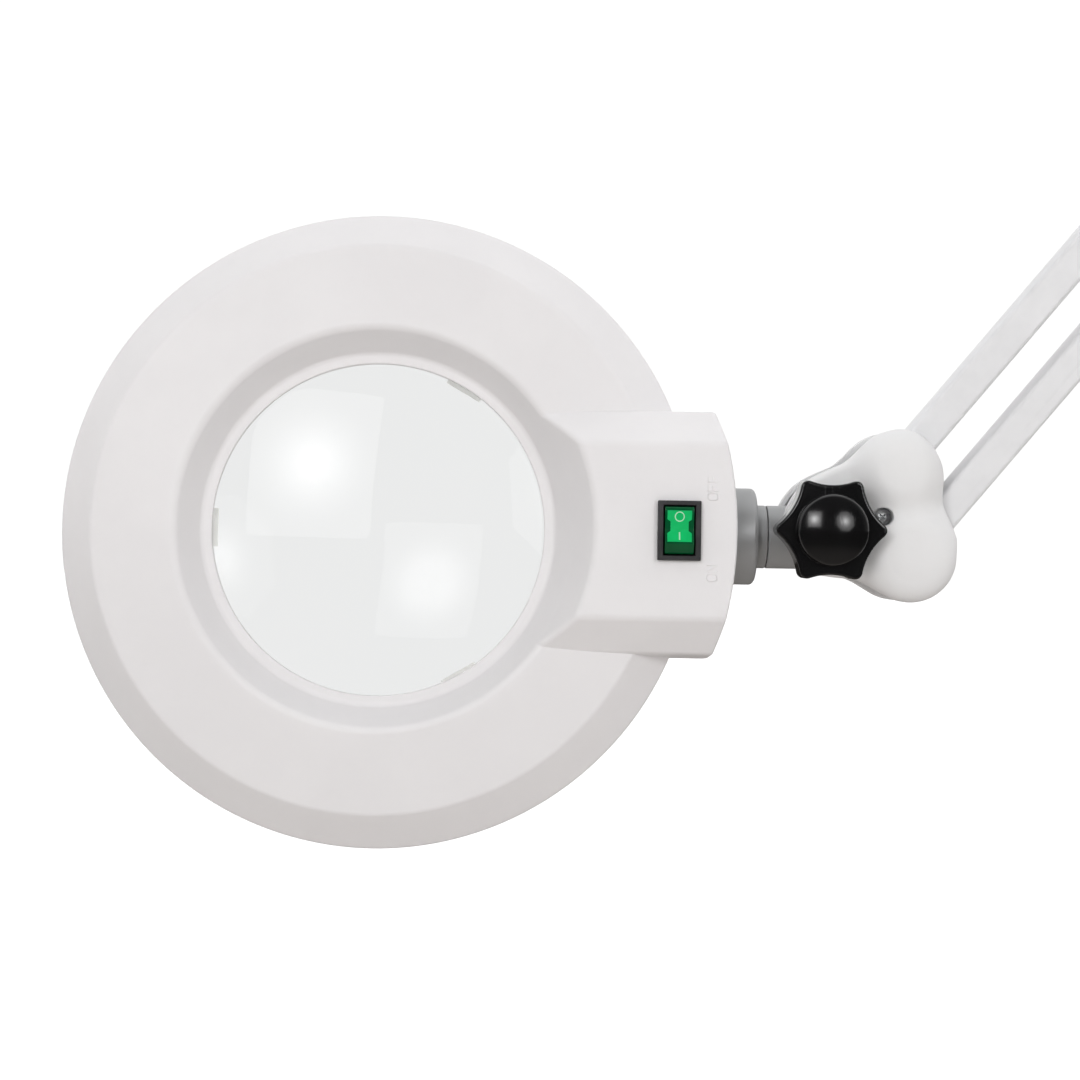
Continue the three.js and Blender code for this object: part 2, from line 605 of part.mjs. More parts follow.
function addHead() {
  const head = group(lamp, lensCentre, { x: HEAD_TWIST });
  add(head, "upper_housing", upperHousing(), M.whiteShell);
  add(head, "neck_cover", neckCover(), M.whiteShell);
  add(head, "light_cover", lightCover(), M.frosted);
  add(head, "lens", lens(), M.glass);
  add(head, "ring_lamp", ringLamp(), M.lampGlass);
  add(head, "lamp_base", lampBase(), M.whiteShell);
  add(head, "lamp_socket", lampSocket(), M.whiteShell);
  for (const angle of [60, 180, 300]) {
    add(group(head, [0, 0], { z: angle }), "lens_clip_" + angle, lensClip(), M.steel);
  }
  for (const angle of [90, 180, 270]) {
    add(group(head, [0, 0], { z: angle }), "lamp_clip_" + angle, lampClip(), M.steel);
  }
  add(head, "switch_body", switchBody(), M.blackFrame);
  const rocker = add(head, "switch_rocker", switchRocker(), M.green);
  rocker.position.set(SWITCH.x, 0, NECK.top + 0.6);
  rocker.rotation.x = degrees(-SWITCH.lean);
  add(head, "ballast_board", ballastBoard(), M.board);
  add(head, "ballast_coil", bar(78, 92, 6, 20, 17.5, 25), M.copper);
  add(head, "ballast_capacitor", rod(3.6, 0, 22).rotateX(Math.PI / 2).translate(84, 0, 21.2), M.rubber);
  add(head, "swivel_flange", swivelFlange(), M.greyPaint);
}

function addKnuckle() {
  const knuckle = group(lamp, lensCentre);
  add(knuckle, "tilt_knuckle", tiltKnuckle(), M.greyPaint);
  add(knuckle, "swivel_nut", swivelNut(), M.steel);
  add(knuckle, "swivel_washer", swivelWasher(), M.steel);
}

function addHeadJoint() {
  const joint = group(lamp, tiltBolt);
  add(joint, "head_plate_front", headPlate(), M.steel);
  add(joint, "head_plate_rear", headPlate(), M.steel).scale.z = -1;
  add(joint, "head_cover_front", headCover(screwHole()), M.whiteCover);
  add(joint, "head_cover_rear", headCover(), M.whiteCover).scale.z = -1;
  add(group(joint, COVER_SCREW), "head_cover_screw", coverScrew(), M.steel);
  add(group(joint, PIVOT_UPPER), "head_bolt_upper", pivotBolt(), M.steel);
  add(group(joint, PIVOT_LOWER), "head_bolt_lower", pivotBolt(), M.steel);
  add(joint, "tilt_bolt", tiltBoltShape(), M.steel);
  add(joint, "star_knob", starKnob(), M.blackKnob);
}

function addArm(name, tubes, angle) {
  for (const { label, foot, spring } of tubes) {
    const arm = group(lamp, foot, { z: angle });
    add(arm, name + "_tube_" + label, armTube(spring), M.whitePaint);
    if (spring) {
      add(arm, name + "_arm_spring", balanceSpring(), M.steel);
      add(group(arm, [SPRING.anchor, 0]), name + "_spring_rivet", rod(1.5, -10.2, 10.2, 12), M.steel);
    }
  }
}

function addElbow() {
  const elbow = group(lamp, elbowLower.left);
  add(elbow, "elbow_plate_front", elbowPlate(), M.steel);
  add(elbow, "elbow_plate_rear", elbowPlate(), M.steel).scale.z = -1;
  add(elbow, "elbow_cover_front", elbowCover(), M.whiteCover);
  add(elbow, "elbow_cover_rear", elbowCover(), M.whiteCover).scale.z = -1;
  elbowPoints.forEach((p, i) => add(group(elbow, p), "elbow_bolt_" + (i + 1), pivotBolt(), M.steel));
}

function addBase() {
  const base = group(lamp, [BASE_AXIS, BASE_PIVOT_Y]);
  add(base, "base_yoke", baseYoke(), M.steel);
  add(base, "base_cover_front", baseCover(), M.whiteCover);
  add(base, "base_cover_rear", baseCover(), M.whiteCover).scale.z = -1;
  basePoints.forEach((p, i) => add(group(base, p), "base_bolt_" + (i + 1), pivotBolt(), M.steel));
  add(group(lamp, [BASE_AXIS, 0]), "base_pin", basePin(), M.steel);
}

function addClamp() {
  add(lamp, "clamp_frame", clampFrame(), M.whitePaint);
  add(lamp, "jaw_pad", jawPad(), M.rubber);
  add(lamp, "socket_bush", socketBush(), M.blackFrame);
  add(lamp, "lock_screw", lockScrew(), M.blackKnob);
  add(lamp, "pressure_pad", pressurePad(), M.steel);
  add(lamp, "clamp_screw", clampScrew(), M.steel);
  add(lamp, "tommy_bar", tommyBar(), M.steel);
}

addHead();
addKnuckle();
addHeadJoint();
addArm("upper", [
  { label: "top", foot: headPivots.upper, spring: false },
  { label: "bottom", foot: headPivots.lower, spring: true },
], UPPER_ANGLE);
addElbow();
addArm("lower", [
  { label: "left", foot: basePivots.left, spring: false },
  { label: "right", foot: basePivots.right, spring: true },
], LOWER_ANGLE);
addBase();
addClamp();

export default lamp;
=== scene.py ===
import json
import math

import bpy
import numpy as np
from mathutils import Matrix, Vector


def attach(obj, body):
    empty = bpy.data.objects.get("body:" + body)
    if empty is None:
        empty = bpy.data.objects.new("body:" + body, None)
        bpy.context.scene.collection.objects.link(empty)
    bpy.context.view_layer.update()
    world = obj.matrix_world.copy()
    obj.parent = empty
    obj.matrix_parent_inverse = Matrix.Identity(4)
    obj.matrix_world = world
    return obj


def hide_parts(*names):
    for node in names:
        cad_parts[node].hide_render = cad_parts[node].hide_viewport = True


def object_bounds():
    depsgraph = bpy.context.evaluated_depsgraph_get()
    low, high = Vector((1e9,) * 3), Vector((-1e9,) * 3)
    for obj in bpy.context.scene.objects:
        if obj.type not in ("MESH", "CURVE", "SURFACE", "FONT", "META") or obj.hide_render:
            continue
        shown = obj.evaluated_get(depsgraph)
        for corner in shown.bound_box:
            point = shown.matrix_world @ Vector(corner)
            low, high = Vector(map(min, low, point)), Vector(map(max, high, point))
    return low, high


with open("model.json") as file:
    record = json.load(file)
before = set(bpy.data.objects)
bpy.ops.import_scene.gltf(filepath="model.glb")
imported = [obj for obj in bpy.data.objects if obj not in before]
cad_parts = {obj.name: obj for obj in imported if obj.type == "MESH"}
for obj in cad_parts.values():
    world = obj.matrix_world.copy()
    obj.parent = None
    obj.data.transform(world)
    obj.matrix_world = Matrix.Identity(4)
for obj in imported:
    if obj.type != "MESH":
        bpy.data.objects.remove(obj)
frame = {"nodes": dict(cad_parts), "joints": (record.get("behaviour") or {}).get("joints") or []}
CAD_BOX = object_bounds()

# The lamp is built in front-view axes in millimetres, x right, y up and z towards the viewer, as its CAD is,
# and FRONT turns them into the frame's metres with +Z up.
FRONT = Matrix(((0.001, 0, 0, 0), (0, 0, -0.001, 0), (0, 0.001, 0, 0), (0, 0, 0, 1)))
JOINT = {j["name"]: j for j in frame["joints"]}


def pivot(joint):
    x, _, z = JOINT[joint]["pos_m"]
    return x * 1000, z * 1000


TILT = pivot("head_tilt")
TILT_FROM_LENS = (159.4, 2.75)
LENS_CENTRE = (TILT[0] - TILT_FROM_LENS[0], TILT[1] - TILT_FROM_LENS[1])
HEAD_TWIST = -3
UPPER_ANGLE, LOWER_ANGLE = 50.4, 100
ARM_LENGTH = 380
PIVOT_UPPER, PIVOT_LOWER = (26.3, 21.6), (30.9, -9.6)
COVER_SCREW = (19.8, 5)
BASE_AXIS = (pivot("lower_arm_lift")[0] + pivot("lower_link_lift")[0]) / 2


def spin(degrees, axis):
    return Matrix.Rotation(math.radians(degrees), 4, axis)


def place(x=0, y=0, turn_x=0, turn_z=0):
    return FRONT @ Matrix.Translation((x, y, 0)) @ spin(turn_x, "X") @ spin(turn_z, "Z")


def from_tilt(point):
    return TILT[0] + point[0], TILT[1] + point[1]


HEAD = place(*LENS_CENTRE, turn_x=HEAD_TWIST)
KNUCKLE = place(*LENS_CENTRE)
BRACKET = place(*TILT)
ALONG_X = spin(90, "Y")  # z of a turned shape lies along x
ALONG_Y = spin(-90, "X")  # z of a turned shape stands along y
UPRIGHT = FRONT @ ALONG_Y
BASE_UPRIGHT = place(BASE_AXIS) @ ALONG_Y


def shown(name, data):
    """A new object in the scene."""
    made = bpy.data.objects.new(name, data)
    bpy.context.scene.collection.objects.link(made)
    return made


def plain_mesh(name, points, faces):
    mesh = bpy.data.meshes.new(name)
    mesh.from_pydata([tuple(p) for p in points], [], [tuple(f) for f in faces])
    return mesh


# ---------------------------------------------------------------- camera, floor and light
def add_camera():
    camera = shown("camera", bpy.data.cameras.new("camera"))
    data = camera.data
    data.lens, data.sensor_width = 64.18, 36.0
    data.shift_y = -0.0023
    data.clip_start, data.clip_end = 0.01, 60
    roll = math.radians(1.0)
    c, s = math.cos(roll), math.sin(roll)
    x, z = (TILT[0] - 101.15) / 1000, (TILT[1] - 4.38) / 1000
    camera.matrix_world = Matrix(((c, -s, 0, x), (0, 0, -1, -0.7), (s, c, 0, z), (0, 0, 0, 1)))
    bpy.context.scene.camera = camera


class Nodes:
    """A node tree with short names for what a finish needs."""

    def __init__(self, tree):
        self.tree, self.nodes = tree, tree.nodes

    def add(self, kind, inputs=None, **settings):
        node = self.nodes.new(kind)
        for key, value in settings.items():
            setattr(node, key, value)
        for key, value in (inputs or {}).items():
            self.put(node.inputs[key], value)
        return node

    def put(self, socket, value):
        if isinstance(value, bpy.types.NodeSocket):
            self.tree.links.new(value, socket)
        else:
            socket.default_value = value

    def math(self, operation, a, b=0.0, clamp=False):
        node = self.add("ShaderNodeMath", operation=operation, use_clamp=clamp)
        self.put(node.inputs[0], a)
        self.put(node.inputs[1], b)
        return node.outputs[0]

    def spread(self, value, low, high, to_low, to_high):
        inputs = {"Value": value, "From Min": low, "From Max": high, "To Min": to_low, "To Max": to_high}
        return self.add("ShaderNodeMapRange", inputs).outputs["Result"]

    def noise(self, where, scale, detail=2.0, rough=0.5):
        inputs = {"Vector": where, "Scale": scale, "Detail": detail, "Roughness": rough}
        return self.add("ShaderNodeTexNoise", inputs).outputs["Fac"]

    def mix(self, factor, a, b, colour=True):
        node = self.add("ShaderNodeMix", data_type="RGBA" if colour else "FLOAT")
        for socket, value in zip((0, 6, 7) if colour else (0, 2, 3), (factor, a, b)):
            self.put(node.inputs[socket], value)
        return node.outputs[2 if colour else 0]


def new_material(name):
    made = bpy.data.materials.new(name)
    made.use_nodes = True
    return made, Nodes(made.node_tree)


THROUGH_LENS = 0.85  # how bright the pale surroundings look through glass
ROOM = 0.32  # the least light that reaches a dull surface from any side
BACKDROP = 1.06  # how bright the camera sees the surroundings


def add_world():
    world = bpy.data.worlds.new("studio")
    bpy.context.scene.world = world
    world.use_nodes = True
    n = Nodes(world.node_tree)
    back = n.nodes["Background"]
    where = n.add("ShaderNodeTexCoord").outputs["Generated"]
    split = n.add("ShaderNodeSeparateXYZ", {"Vector": where})
    aside = n.spread(split.outputs["Y"], -0.60, -0.15, 0.05, 1.0)
    above = n.spread(split.outputs["Z"], 0.45, 0.95, 0.0, 0.1)
    ray = n.add("ShaderNodeLightPath")
    room = n.math("MULTIPLY", ray.outputs["Is Diffuse Ray"], ROOM)
    studio = n.math("MAXIMUM", n.math("ADD", aside, above), room)
    seen = n.mix(ray.outputs["Is Camera Ray"], studio, BACKDROP, colour=False)
    strength = n.mix(ray.outputs["Is Transmission Ray"], seen, THROUGH_LENS, colour=False)
    n.put(back.inputs["Strength"], strength)
    back.inputs["Color"].default_value = (1, 1, 1, 1)


def add_floor():
    half, z = 14.0, CAD_BOX[0][2] - 0.0006
    corners = [(-half, -half, z), (half, -half, z), (half, half, z), (-half, half, z)]
    floor = shown("floor", plain_mesh("floor", corners, [(0, 1, 2, 3)]))
    made, n = new_material("pale_floor")
    shader = n.nodes["Principled BSDF"]
    where = n.add("ShaderNodeTexCoord").outputs["Object"]
    cloud = n.noise(where, 3.0, 4.0)
    pale = n.mix(cloud, (0.80, 0.80, 0.80, 1), (0.84, 0.84, 0.84, 1))
    ray = n.add("ShaderNodeLightPath")
    camera, through = ray.outputs["Is Camera Ray"], ray.outputs["Is Transmission Ray"]
    # In reflections the floor carries a painted pool of light: its colour is pale near the lamp head and
    # fades to almost black further off, painted darkness standing in for the unlit studio.
    away = n.add("ShaderNodeVectorMath", {0: where, 1: (-0.35, 0, z)}, operation="DISTANCE").outputs["Value"]
    shine = n.mix(n.spread(away, 0.2, 0.8, 0.0, 1.0), (0.31, 0.285, 0.26, 1), (0.03, 0.027, 0.024, 1))
    dull = n.mix(ray.outputs["Is Diffuse Ray"], shine, (0.52, 0.495, 0.475, 1))
    colour = n.mix(camera, dull, pale)
    n.put(shader.inputs["Base Color"], n.mix(through, colour, (0, 0, 0, 1)))
    shader.inputs["Roughness"].default_value = 0.9
    shader.inputs["Specular IOR Level"].default_value = 0.0
    shader.inputs["Emission Color"].default_value = (1, 1, 1, 1)
    glow = n.math("ADD", n.math("MULTIPLY", camera, 0.6), n.math("MULTIPLY", through, THROUGH_LENS))
    n.put(shader.inputs["Emission Strength"], glow)
    floor.data.materials.append(made)


def add_softbox(name, azimuth, elevation, width, height, corner, glow, hot=0.0, distance=1.3, shines=True):
    """A soft light panel facing the lamp head, brightest at its middle, with its corners cut by a length.
    Without shines it gives no highlights."""
    target = Vector(((TILT[0] - 80) / 1000, 0, TILT[1] / 1000))
    a, e = math.radians(azimuth), math.radians(elevation)
    away = Vector((math.sin(a) * math.cos(e), -math.cos(a) * math.cos(e), math.sin(e)))
    turn = away.to_track_quat("Z", "Y").to_matrix().to_4x4()
    w, h, c = width / 2, height / 2, corner
    half = [(w, c - h), (w, h - c), (w - c, h), (c - w, h)]
    outline = [(x * side, y * side, 0) for side in (1, -1) for x, y in half]
    panel = shown(name, plain_mesh(name, outline, [range(8)]))
    panel.matrix_world = Matrix.Translation(target + away * distance) @ turn
    panel.visible_camera = False
    panel.visible_glossy = panel.visible_transmission = shines
    made, n = new_material(name)
    n.nodes.remove(n.nodes["Principled BSDF"])
    where = n.add("ShaderNodeTexCoord").outputs["Object"]
    far = n.add("ShaderNodeVectorMath", {0: where}, operation="LENGTH").outputs["Value"]
    bell = n.math("POWER", n.spread(far, 0.0, 0.27, 1.0, 0.0), 2.0)
    strength = n.math("ADD", n.math("MULTIPLY", bell, hot), glow)
    light = n.add("ShaderNodeEmission", {"Strength": strength, "Color": (1, 1, 1, 1)})
    n.tree.links.new(light.outputs[0], n.nodes["Material Output"].inputs["Surface"])
    panel.data.materials.append(made)


# ---------------------------------------------------------------- finishes
def finish(name, pale, dark, rough=(0.4, 0.5), metal=0.0, grain=1100, depth=0.02, cloud=30, wear=None,
           brushed=None, scratches=0.0, **sockets):
    """A finish that drifts between two colours and two roughnesses, with a fine grain of a depth in mm,
    paler or darker edges from wear, and hair scratches where it has them."""
    made, n = new_material(name)
    shader = n.nodes["Principled BSDF"]
    where = n.add("ShaderNodeTexCoord").outputs["Object"]
    where_fine = n.add("ShaderNodeMapping", {"Vector": where, "Scale": brushed or (1, 1, 1)}).outputs[0]
    drift = n.noise(where, cloud, 4.0, 0.6)
    colour = n.mix(n.spread(drift, 0.35, 0.65, 0.0, 1.0), (*pale, 1), (*dark, 1))
    if wear:
        edge = n.add("ShaderNodeNewGeometry").outputs["Pointiness"]
        patchy = n.spread(n.noise(where, 160, 3.0), 0.42, 0.62, 0.0, 1.0)
        amount = n.math("MULTIPLY", n.spread(edge, 0.52, 0.60, 0.0, wear[1]), patchy, clamp=True)
        colour = n.mix(amount, colour, (*wear[0], 1))
    n.put(shader.inputs["Base Color"], colour)
    blotch = n.noise(where, cloud * 2.3, 5.0, 0.65)
    n.put(shader.inputs["Roughness"], n.spread(blotch, 0.3, 0.7, *rough))
    shader.inputs["Metallic"].default_value = metal
    height = n.noise(where_fine, grain, 2.0)
    if scratches:
        long = {"Vector": where, "Rotation": (0.4, 0.9, 0.5), "Scale": (1, 1, 0.03)}
        hair = n.noise(n.add("ShaderNodeMapping", long).outputs[0], 1500, 1.0)
        fine = n.math("POWER", n.spread(hair, 0.62, 0.75, 0.0, 1.0), 2.0)
        height = n.math("SUBTRACT", height, n.math("MULTIPLY", fine, scratches))
    bump = n.add("ShaderNodeBump", {"Height": height, "Strength": 1.0, "Distance": depth / 1000})
    n.put(shader.inputs["Normal"], bump.outputs[0])
    for key, value in sockets.items():
        shader.inputs[key.replace("_", " ")].default_value = value
    return made


FINISH = {
    "white_shell": finish("shell_plastic", (0.880, 0.864, 0.872), (0.858, 0.842, 0.851), (0.40, 0.52),
                          depth=0.012, wear=((0.92, 0.91, 0.91), 0.5), IOR=1.46),
    "white_cover": finish("cover_plastic", (0.870, 0.867, 0.870), (0.848, 0.845, 0.850), (0.44, 0.56),
                          depth=0.014, wear=((0.92, 0.92, 0.92), 0.5), IOR=1.46),
    "white_paint": finish("arm_paint", (0.845, 0.845, 0.858), (0.822, 0.822, 0.836), (0.34, 0.46), grain=420,
                          depth=0.03, wear=((0.70, 0.70, 0.71), 0.3), IOR=1.48),
    "grey_paint": finish("joint_paint", (0.40, 0.405, 0.41), (0.35, 0.355, 0.36), (0.36, 0.48), metal=0.4,
                         grain=700, depth=0.02, wear=((0.62, 0.62, 0.63), 0.5)),
    "frosted": finish("frosted_plastic", (0.90, 0.92, 0.92), (0.86, 0.88, 0.885), (0.55, 0.7), grain=900,
                      depth=0.05, IOR=1.49, Transmission_Weight=0.2),
    "lamp_glass": finish("tube_phosphor", (0.87, 0.87, 0.83), (0.83, 0.83, 0.80), (0.08, 0.16), depth=0.004,
                         Coat_Weight=0.6, Coat_Roughness=0.04),
    "black_knob": finish("knob_plastic", (0.004, 0.004, 0.0045), (0.007, 0.007, 0.0075), (0.06, 0.16),
                         grain=500, depth=0.006, wear=((0.03, 0.03, 0.03), 0.5), scratches=1.4, IOR=1.5),
    "black_frame": finish("frame_plastic", (0.022, 0.020, 0.023), (0.016, 0.015, 0.017), (0.5, 0.62),
                          grain=1600, depth=0.02, wear=((0.09, 0.09, 0.09), 0.6)),
    "steel": finish("zinc_steel", (0.66, 0.67, 0.68), (0.52, 0.53, 0.55), (0.22, 0.40), metal=1.0, grain=900,
                    depth=0.01, wear=((0.8, 0.8, 0.8), 0.6), scratches=0.8),
    "rubber": finish("black_rubber", (0.020, 0.020, 0.021), (0.032, 0.032, 0.033), (0.75, 0.92), grain=1400,
                     depth=0.05),
    "board": finish("circuit_board", (0.012, 0.10, 0.035), (0.02, 0.14, 0.05), (0.35, 0.5),
                          grain=600, depth=0.03),
    "copper": finish("copper_winding", (0.62, 0.26, 0.12), (0.48, 0.18, 0.08), (0.25, 0.4), metal=1.0,
                     brushed=(1, 0.1, 1), grain=3000, depth=0.12),
    "glass": finish("lens_glass", (0.99, 0.995, 0.993), (0.98, 0.99, 0.987), (0.0, 0.02), grain=60,
                    depth=0.0004, cloud=12, IOR=1.52, Transmission_Weight=1.0,
                    Specular_Tint=(0.3, 0.3, 0.3, 1)),
    "green": finish("green_lens", (0.0, 0.10, 0.03), (0.0, 0.07, 0.022), (0.10, 0.2), grain=900, depth=0.006,
                    IOR=1.45),
}
WINDOW = finish("green_window", (0.003, 0.55, 0.15), (0.001, 0.49, 0.125), (0.3, 0.4), grain=2600, depth=0.03,
                cloud=260, Specular_IOR_Level=0.2)
# Cream enamel for the lens clips, with a faint painted glow (emission) that stands in for the light the lens
# would pass on to them; the clips are no lamp.
TAB_ENAMEL_WITH_PAINTED_GLOW = finish("clip_enamel_painted_glow", (0.80, 0.79, 0.76), (0.75, 0.74, 0.71), (0.36, 0.48), grain=900, depth=0.01,
             wear=((0.62, 0.61, 0.6), 0.4), Emission_Color=(1, 0.985, 0.95, 1), Emission_Strength=0.28)
MARKS = finish("pale_marks", (0.50, 0.80, 0.60), (0.42, 0.72, 0.52), (0.4, 0.5), grain=1500, depth=0.01)


# ---------------------------------------------------------------- mesh making
def tidy(points, faces, where, normals=None, soft=0.0, cutters=(), crease=38, segments=3):
    """Turns points and faces into a mesh in the frame, cut by other shapes and with its edges rounded."""
    mesh = plain_mesh("shape", points, faces)
    mesh.validate()
    if normals is not None and not cutters and not soft:
        mesh.shade_smooth()
        mesh.transform(where)
        turned = np.asarray(normals) @ np.array(where.to_3x3()).T
        turned /= np.linalg.norm(turned, axis=1)[:, None] + 1e-12
        mesh.normals_split_custom_set_from_vertices(turned)
        return mesh
    scratch = shown("scratch", mesh)
    tools = [shown("tool", plain_mesh("tool", *cutter)) for cutter in cutters]
    for tool in tools:
        cut = scratch.modifiers.new("cut", "BOOLEAN")
        cut.operation, cut.object, cut.solver = "DIFFERENCE", tool, "EXACT"
    if soft:
        bevel = scratch.modifiers.new("bevel", "BEVEL")
        bevel.width, bevel.segments = soft, segments
        bevel.limit_method, bevel.angle_limit = "ANGLE", math.radians(28)
        bevel.use_clamp_overlap = True
    made = applied(scratch, *tools)
    made.transform(where)
    made.shade_smooth()
    made.set_sharp_from_angle(angle=math.radians(crease))
    return weighted(made)


def applied(scratch, *tools):
    """A scratch object's mesh with its modifiers applied. The object and its tools are removed."""
    graph = bpy.context.evaluated_depsgraph_get()
    graph.update()
    made = bpy.data.meshes.new_from_object(scratch.evaluated_get(graph))
    for helper in (scratch, *tools):
        bpy.data.objects.remove(helper)
    return made


def weighted(mesh):
    """Normals led by the large faces, so that flat faces stay flat beside rounded edges."""
    helper = shown("helper", mesh)
    step = helper.modifiers.new("normals", "WEIGHTED_NORMAL")
    step.keep_sharp, step.weight = True, 100
    return applied(helper)


def piece(name, meshes, body, slot, stands_for, material=None):
    """One visible piece, made of one or more meshes, riding on its body in place of its CAD nodes."""
    parts = [shown("part", mesh) for mesh in (meshes if isinstance(meshes, list) else [meshes])]
    obj = parts[0]
    if len(parts) > 1:
        with bpy.context.temp_override(active_object=obj, selected_editable_objects=parts):
            bpy.ops.object.join()
    obj.name = obj.data.name = name
    obj.data.materials.clear()
    obj.data.materials.append(material or FINISH[slot])
    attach(obj, body)
    if stands_for:
        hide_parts(*stands_for)
    return obj


def rounded(points, radii, closed=False, steps=4):
    """A path with its corners rounded."""
    points = [Vector(p) for p in points]
    radii = radii if isinstance(radii, (list, tuple)) else [radii] * len(points)
    out = []
    for i, (p, radius) in enumerate(zip(points, radii)):
        if not closed and i in (0, len(points) - 1) or radius <= 0:
            out.append(p)
            continue
        a, b = points[i - 1] - p, points[(i + 1) % len(points)] - p
        angle = a.angle(b)
        reach = min(radius / max(math.tan(angle / 2), 1e-4), a.length * 0.49, b.length * 0.49)
        radius = reach * math.tan(angle / 2)
        centre = p + (a.normalized() + b.normalized()).normalized() * (radius / math.sin(angle / 2))
        start, end = p + a.normalized() * reach, p + b.normalized() * reach
        sweep = (start - centre).angle_signed(end - centre)
        for k in range(steps + 1):
            spoke = start - centre
            t = -sweep * k / steps
            c, s = math.cos(t), math.sin(t)
            out.append(centre + Vector((spoke.x * c - spoke.y * s, spoke.x * s + spoke.y * c)))
    return [tuple(p) for p in out]


def lathe(profile, steps=64, closed=False):
    """A path of (radius, height) turned about z. Its ends lie on the axis, or it is closed."""
    points, faces, rows = [], [], []
    for r, h in profile:
        if r < 1e-6:
            rows.append([len(points)] * steps)
            points.append((0, 0, h))
        else:
            rows.append(list(range(len(points), len(points) + steps)))
            turns = [2 * math.pi * k / steps for k in range(steps)]
            points.extend((r * math.cos(a), r * math.sin(a), h) for a in turns)
    count = len(profile)
    for i in range(count if closed else count - 1):
        low, high = rows[i], rows[(i + 1) % count]
        for k in range(steps):
            j = (k + 1) % steps
            corners = [low[k], low[j], high[j], high[k]]
            kept = [c for c, before in zip(corners, [corners[-1], *corners[:-1]]) if c != before]
            if len(kept) > 2:
                faces.append(kept)
    area = sum(a[0] * b[1] - b[0] * a[1] for a, b in zip(profile, [*profile[1:], profile[0]]))
    return points, faces if area > 0 else [f[::-1] for f in faces]


def turned(shape, matrix):
    points, faces = shape
    return [tuple(matrix @ Vector(p)) for p in points], faces


def rounded_rectangle(width, height, radius, steps=5, x=0, y=0):
    w, h = width / 2, height / 2
    corners = [(w, -h), (w, h), (-w, h), (-w, -h)]
    return [(px + x, py + y) for px, py in rounded(corners, max(radius, 0.01), True, steps)]


def grid(rows, across, ring=False, open_rows=False):
    """Four-sided faces over rows of points. Each row closes on itself, unless open_rows.
    With ring, the last row joins the first."""
    faces = []
    for i in range(rows if ring else rows - 1):
        a, b = i * across, (i + 1) % rows * across
        for k in range(across - 1 if open_rows else across):
            j = (k + 1) % across
            faces.append((a + k, a + j, b + j, b + k))
    return faces


def tube_faces(rows, across):
    """A skin over rows of points, capped at both ends."""
    return [*grid(rows, across), tuple(range(across))[::-1], tuple(range((rows - 1) * across, rows * across))]


def stack(levels, closed=False):
    """Loops of equal length at given heights, joined into a skin with capped ends or into a ring."""
    rows, across = len(levels), len(levels[0][0])
    points = [(x, y, z) for loop, z in levels for x, y in loop]
    return points, grid(rows, across, ring=True) if closed else tube_faces(rows, across)


def box(x0, x1, y0, y1, z0, z1):
    corners = [(x0, y0), (x1, y0), (x1, y1), (x0, y1)]
    return stack([(corners, z0), (corners, z1)])


def prism(outline, z0, z1):
    area = sum(a[0] * b[1] - b[0] * a[1] for a, b in zip(outline, [*outline[1:], outline[0]]))
    loop = list(outline) if area > 0 else list(outline)[::-1]
    return stack([(loop, z0), (loop, z1)])


def rod(radius, z0, z1, steps=32):
    return lathe([(0, z0), (radius, z0), (radius, z1), (0, z1)], steps)


def merged(*shapes):
    points, faces = [], []
    for shape_points, shape_faces in shapes:
        start = len(points)
        points.extend(shape_points)
        faces.extend(tuple(i + start for i in f) for f in shape_faces)
    return points, faces


# ---------------------------------------------------------------- moulded shapes from distance fields
def meet(a, b, r=0.0):
    """What two solids share, with the edge between them rounded."""
    if r <= 0:
        return np.maximum(a, b)
    return np.minimum(-r, np.maximum(a, b)) + np.hypot(np.maximum(a + r, 0), np.maximum(b + r, 0))


def union(a, b, r=0.0):
    return -meet(-a, -b, r)


def polygon_distance(outline):
    """Signed distance to a closed outline, negative inside."""
    corners = np.array(outline, float)

    def distance(x, y):
        x, y = np.broadcast_arrays(x, y)
        best = np.full(x.shape, 1e9)
        sign = np.ones(x.shape)
        for (ax, ay), (bx, by) in zip(np.roll(corners, 1, axis=0), corners):
            ex, ey = ax - bx, ay - by
            wx, wy = x - bx, y - by
            t = np.clip((wx * ex + wy * ey) / (ex * ex + ey * ey), 0, 1)
            best = np.minimum(best, (wx - ex * t) ** 2 + (wy - ey * t) ** 2)
            up, down, left = y >= by, y < ay, ex * wy > ey * wx
            cross = (up & down & left) | (~up & ~down & ~left)
            sign = np.where(cross, -sign, sign)
        return sign * np.sqrt(best)

    return distance


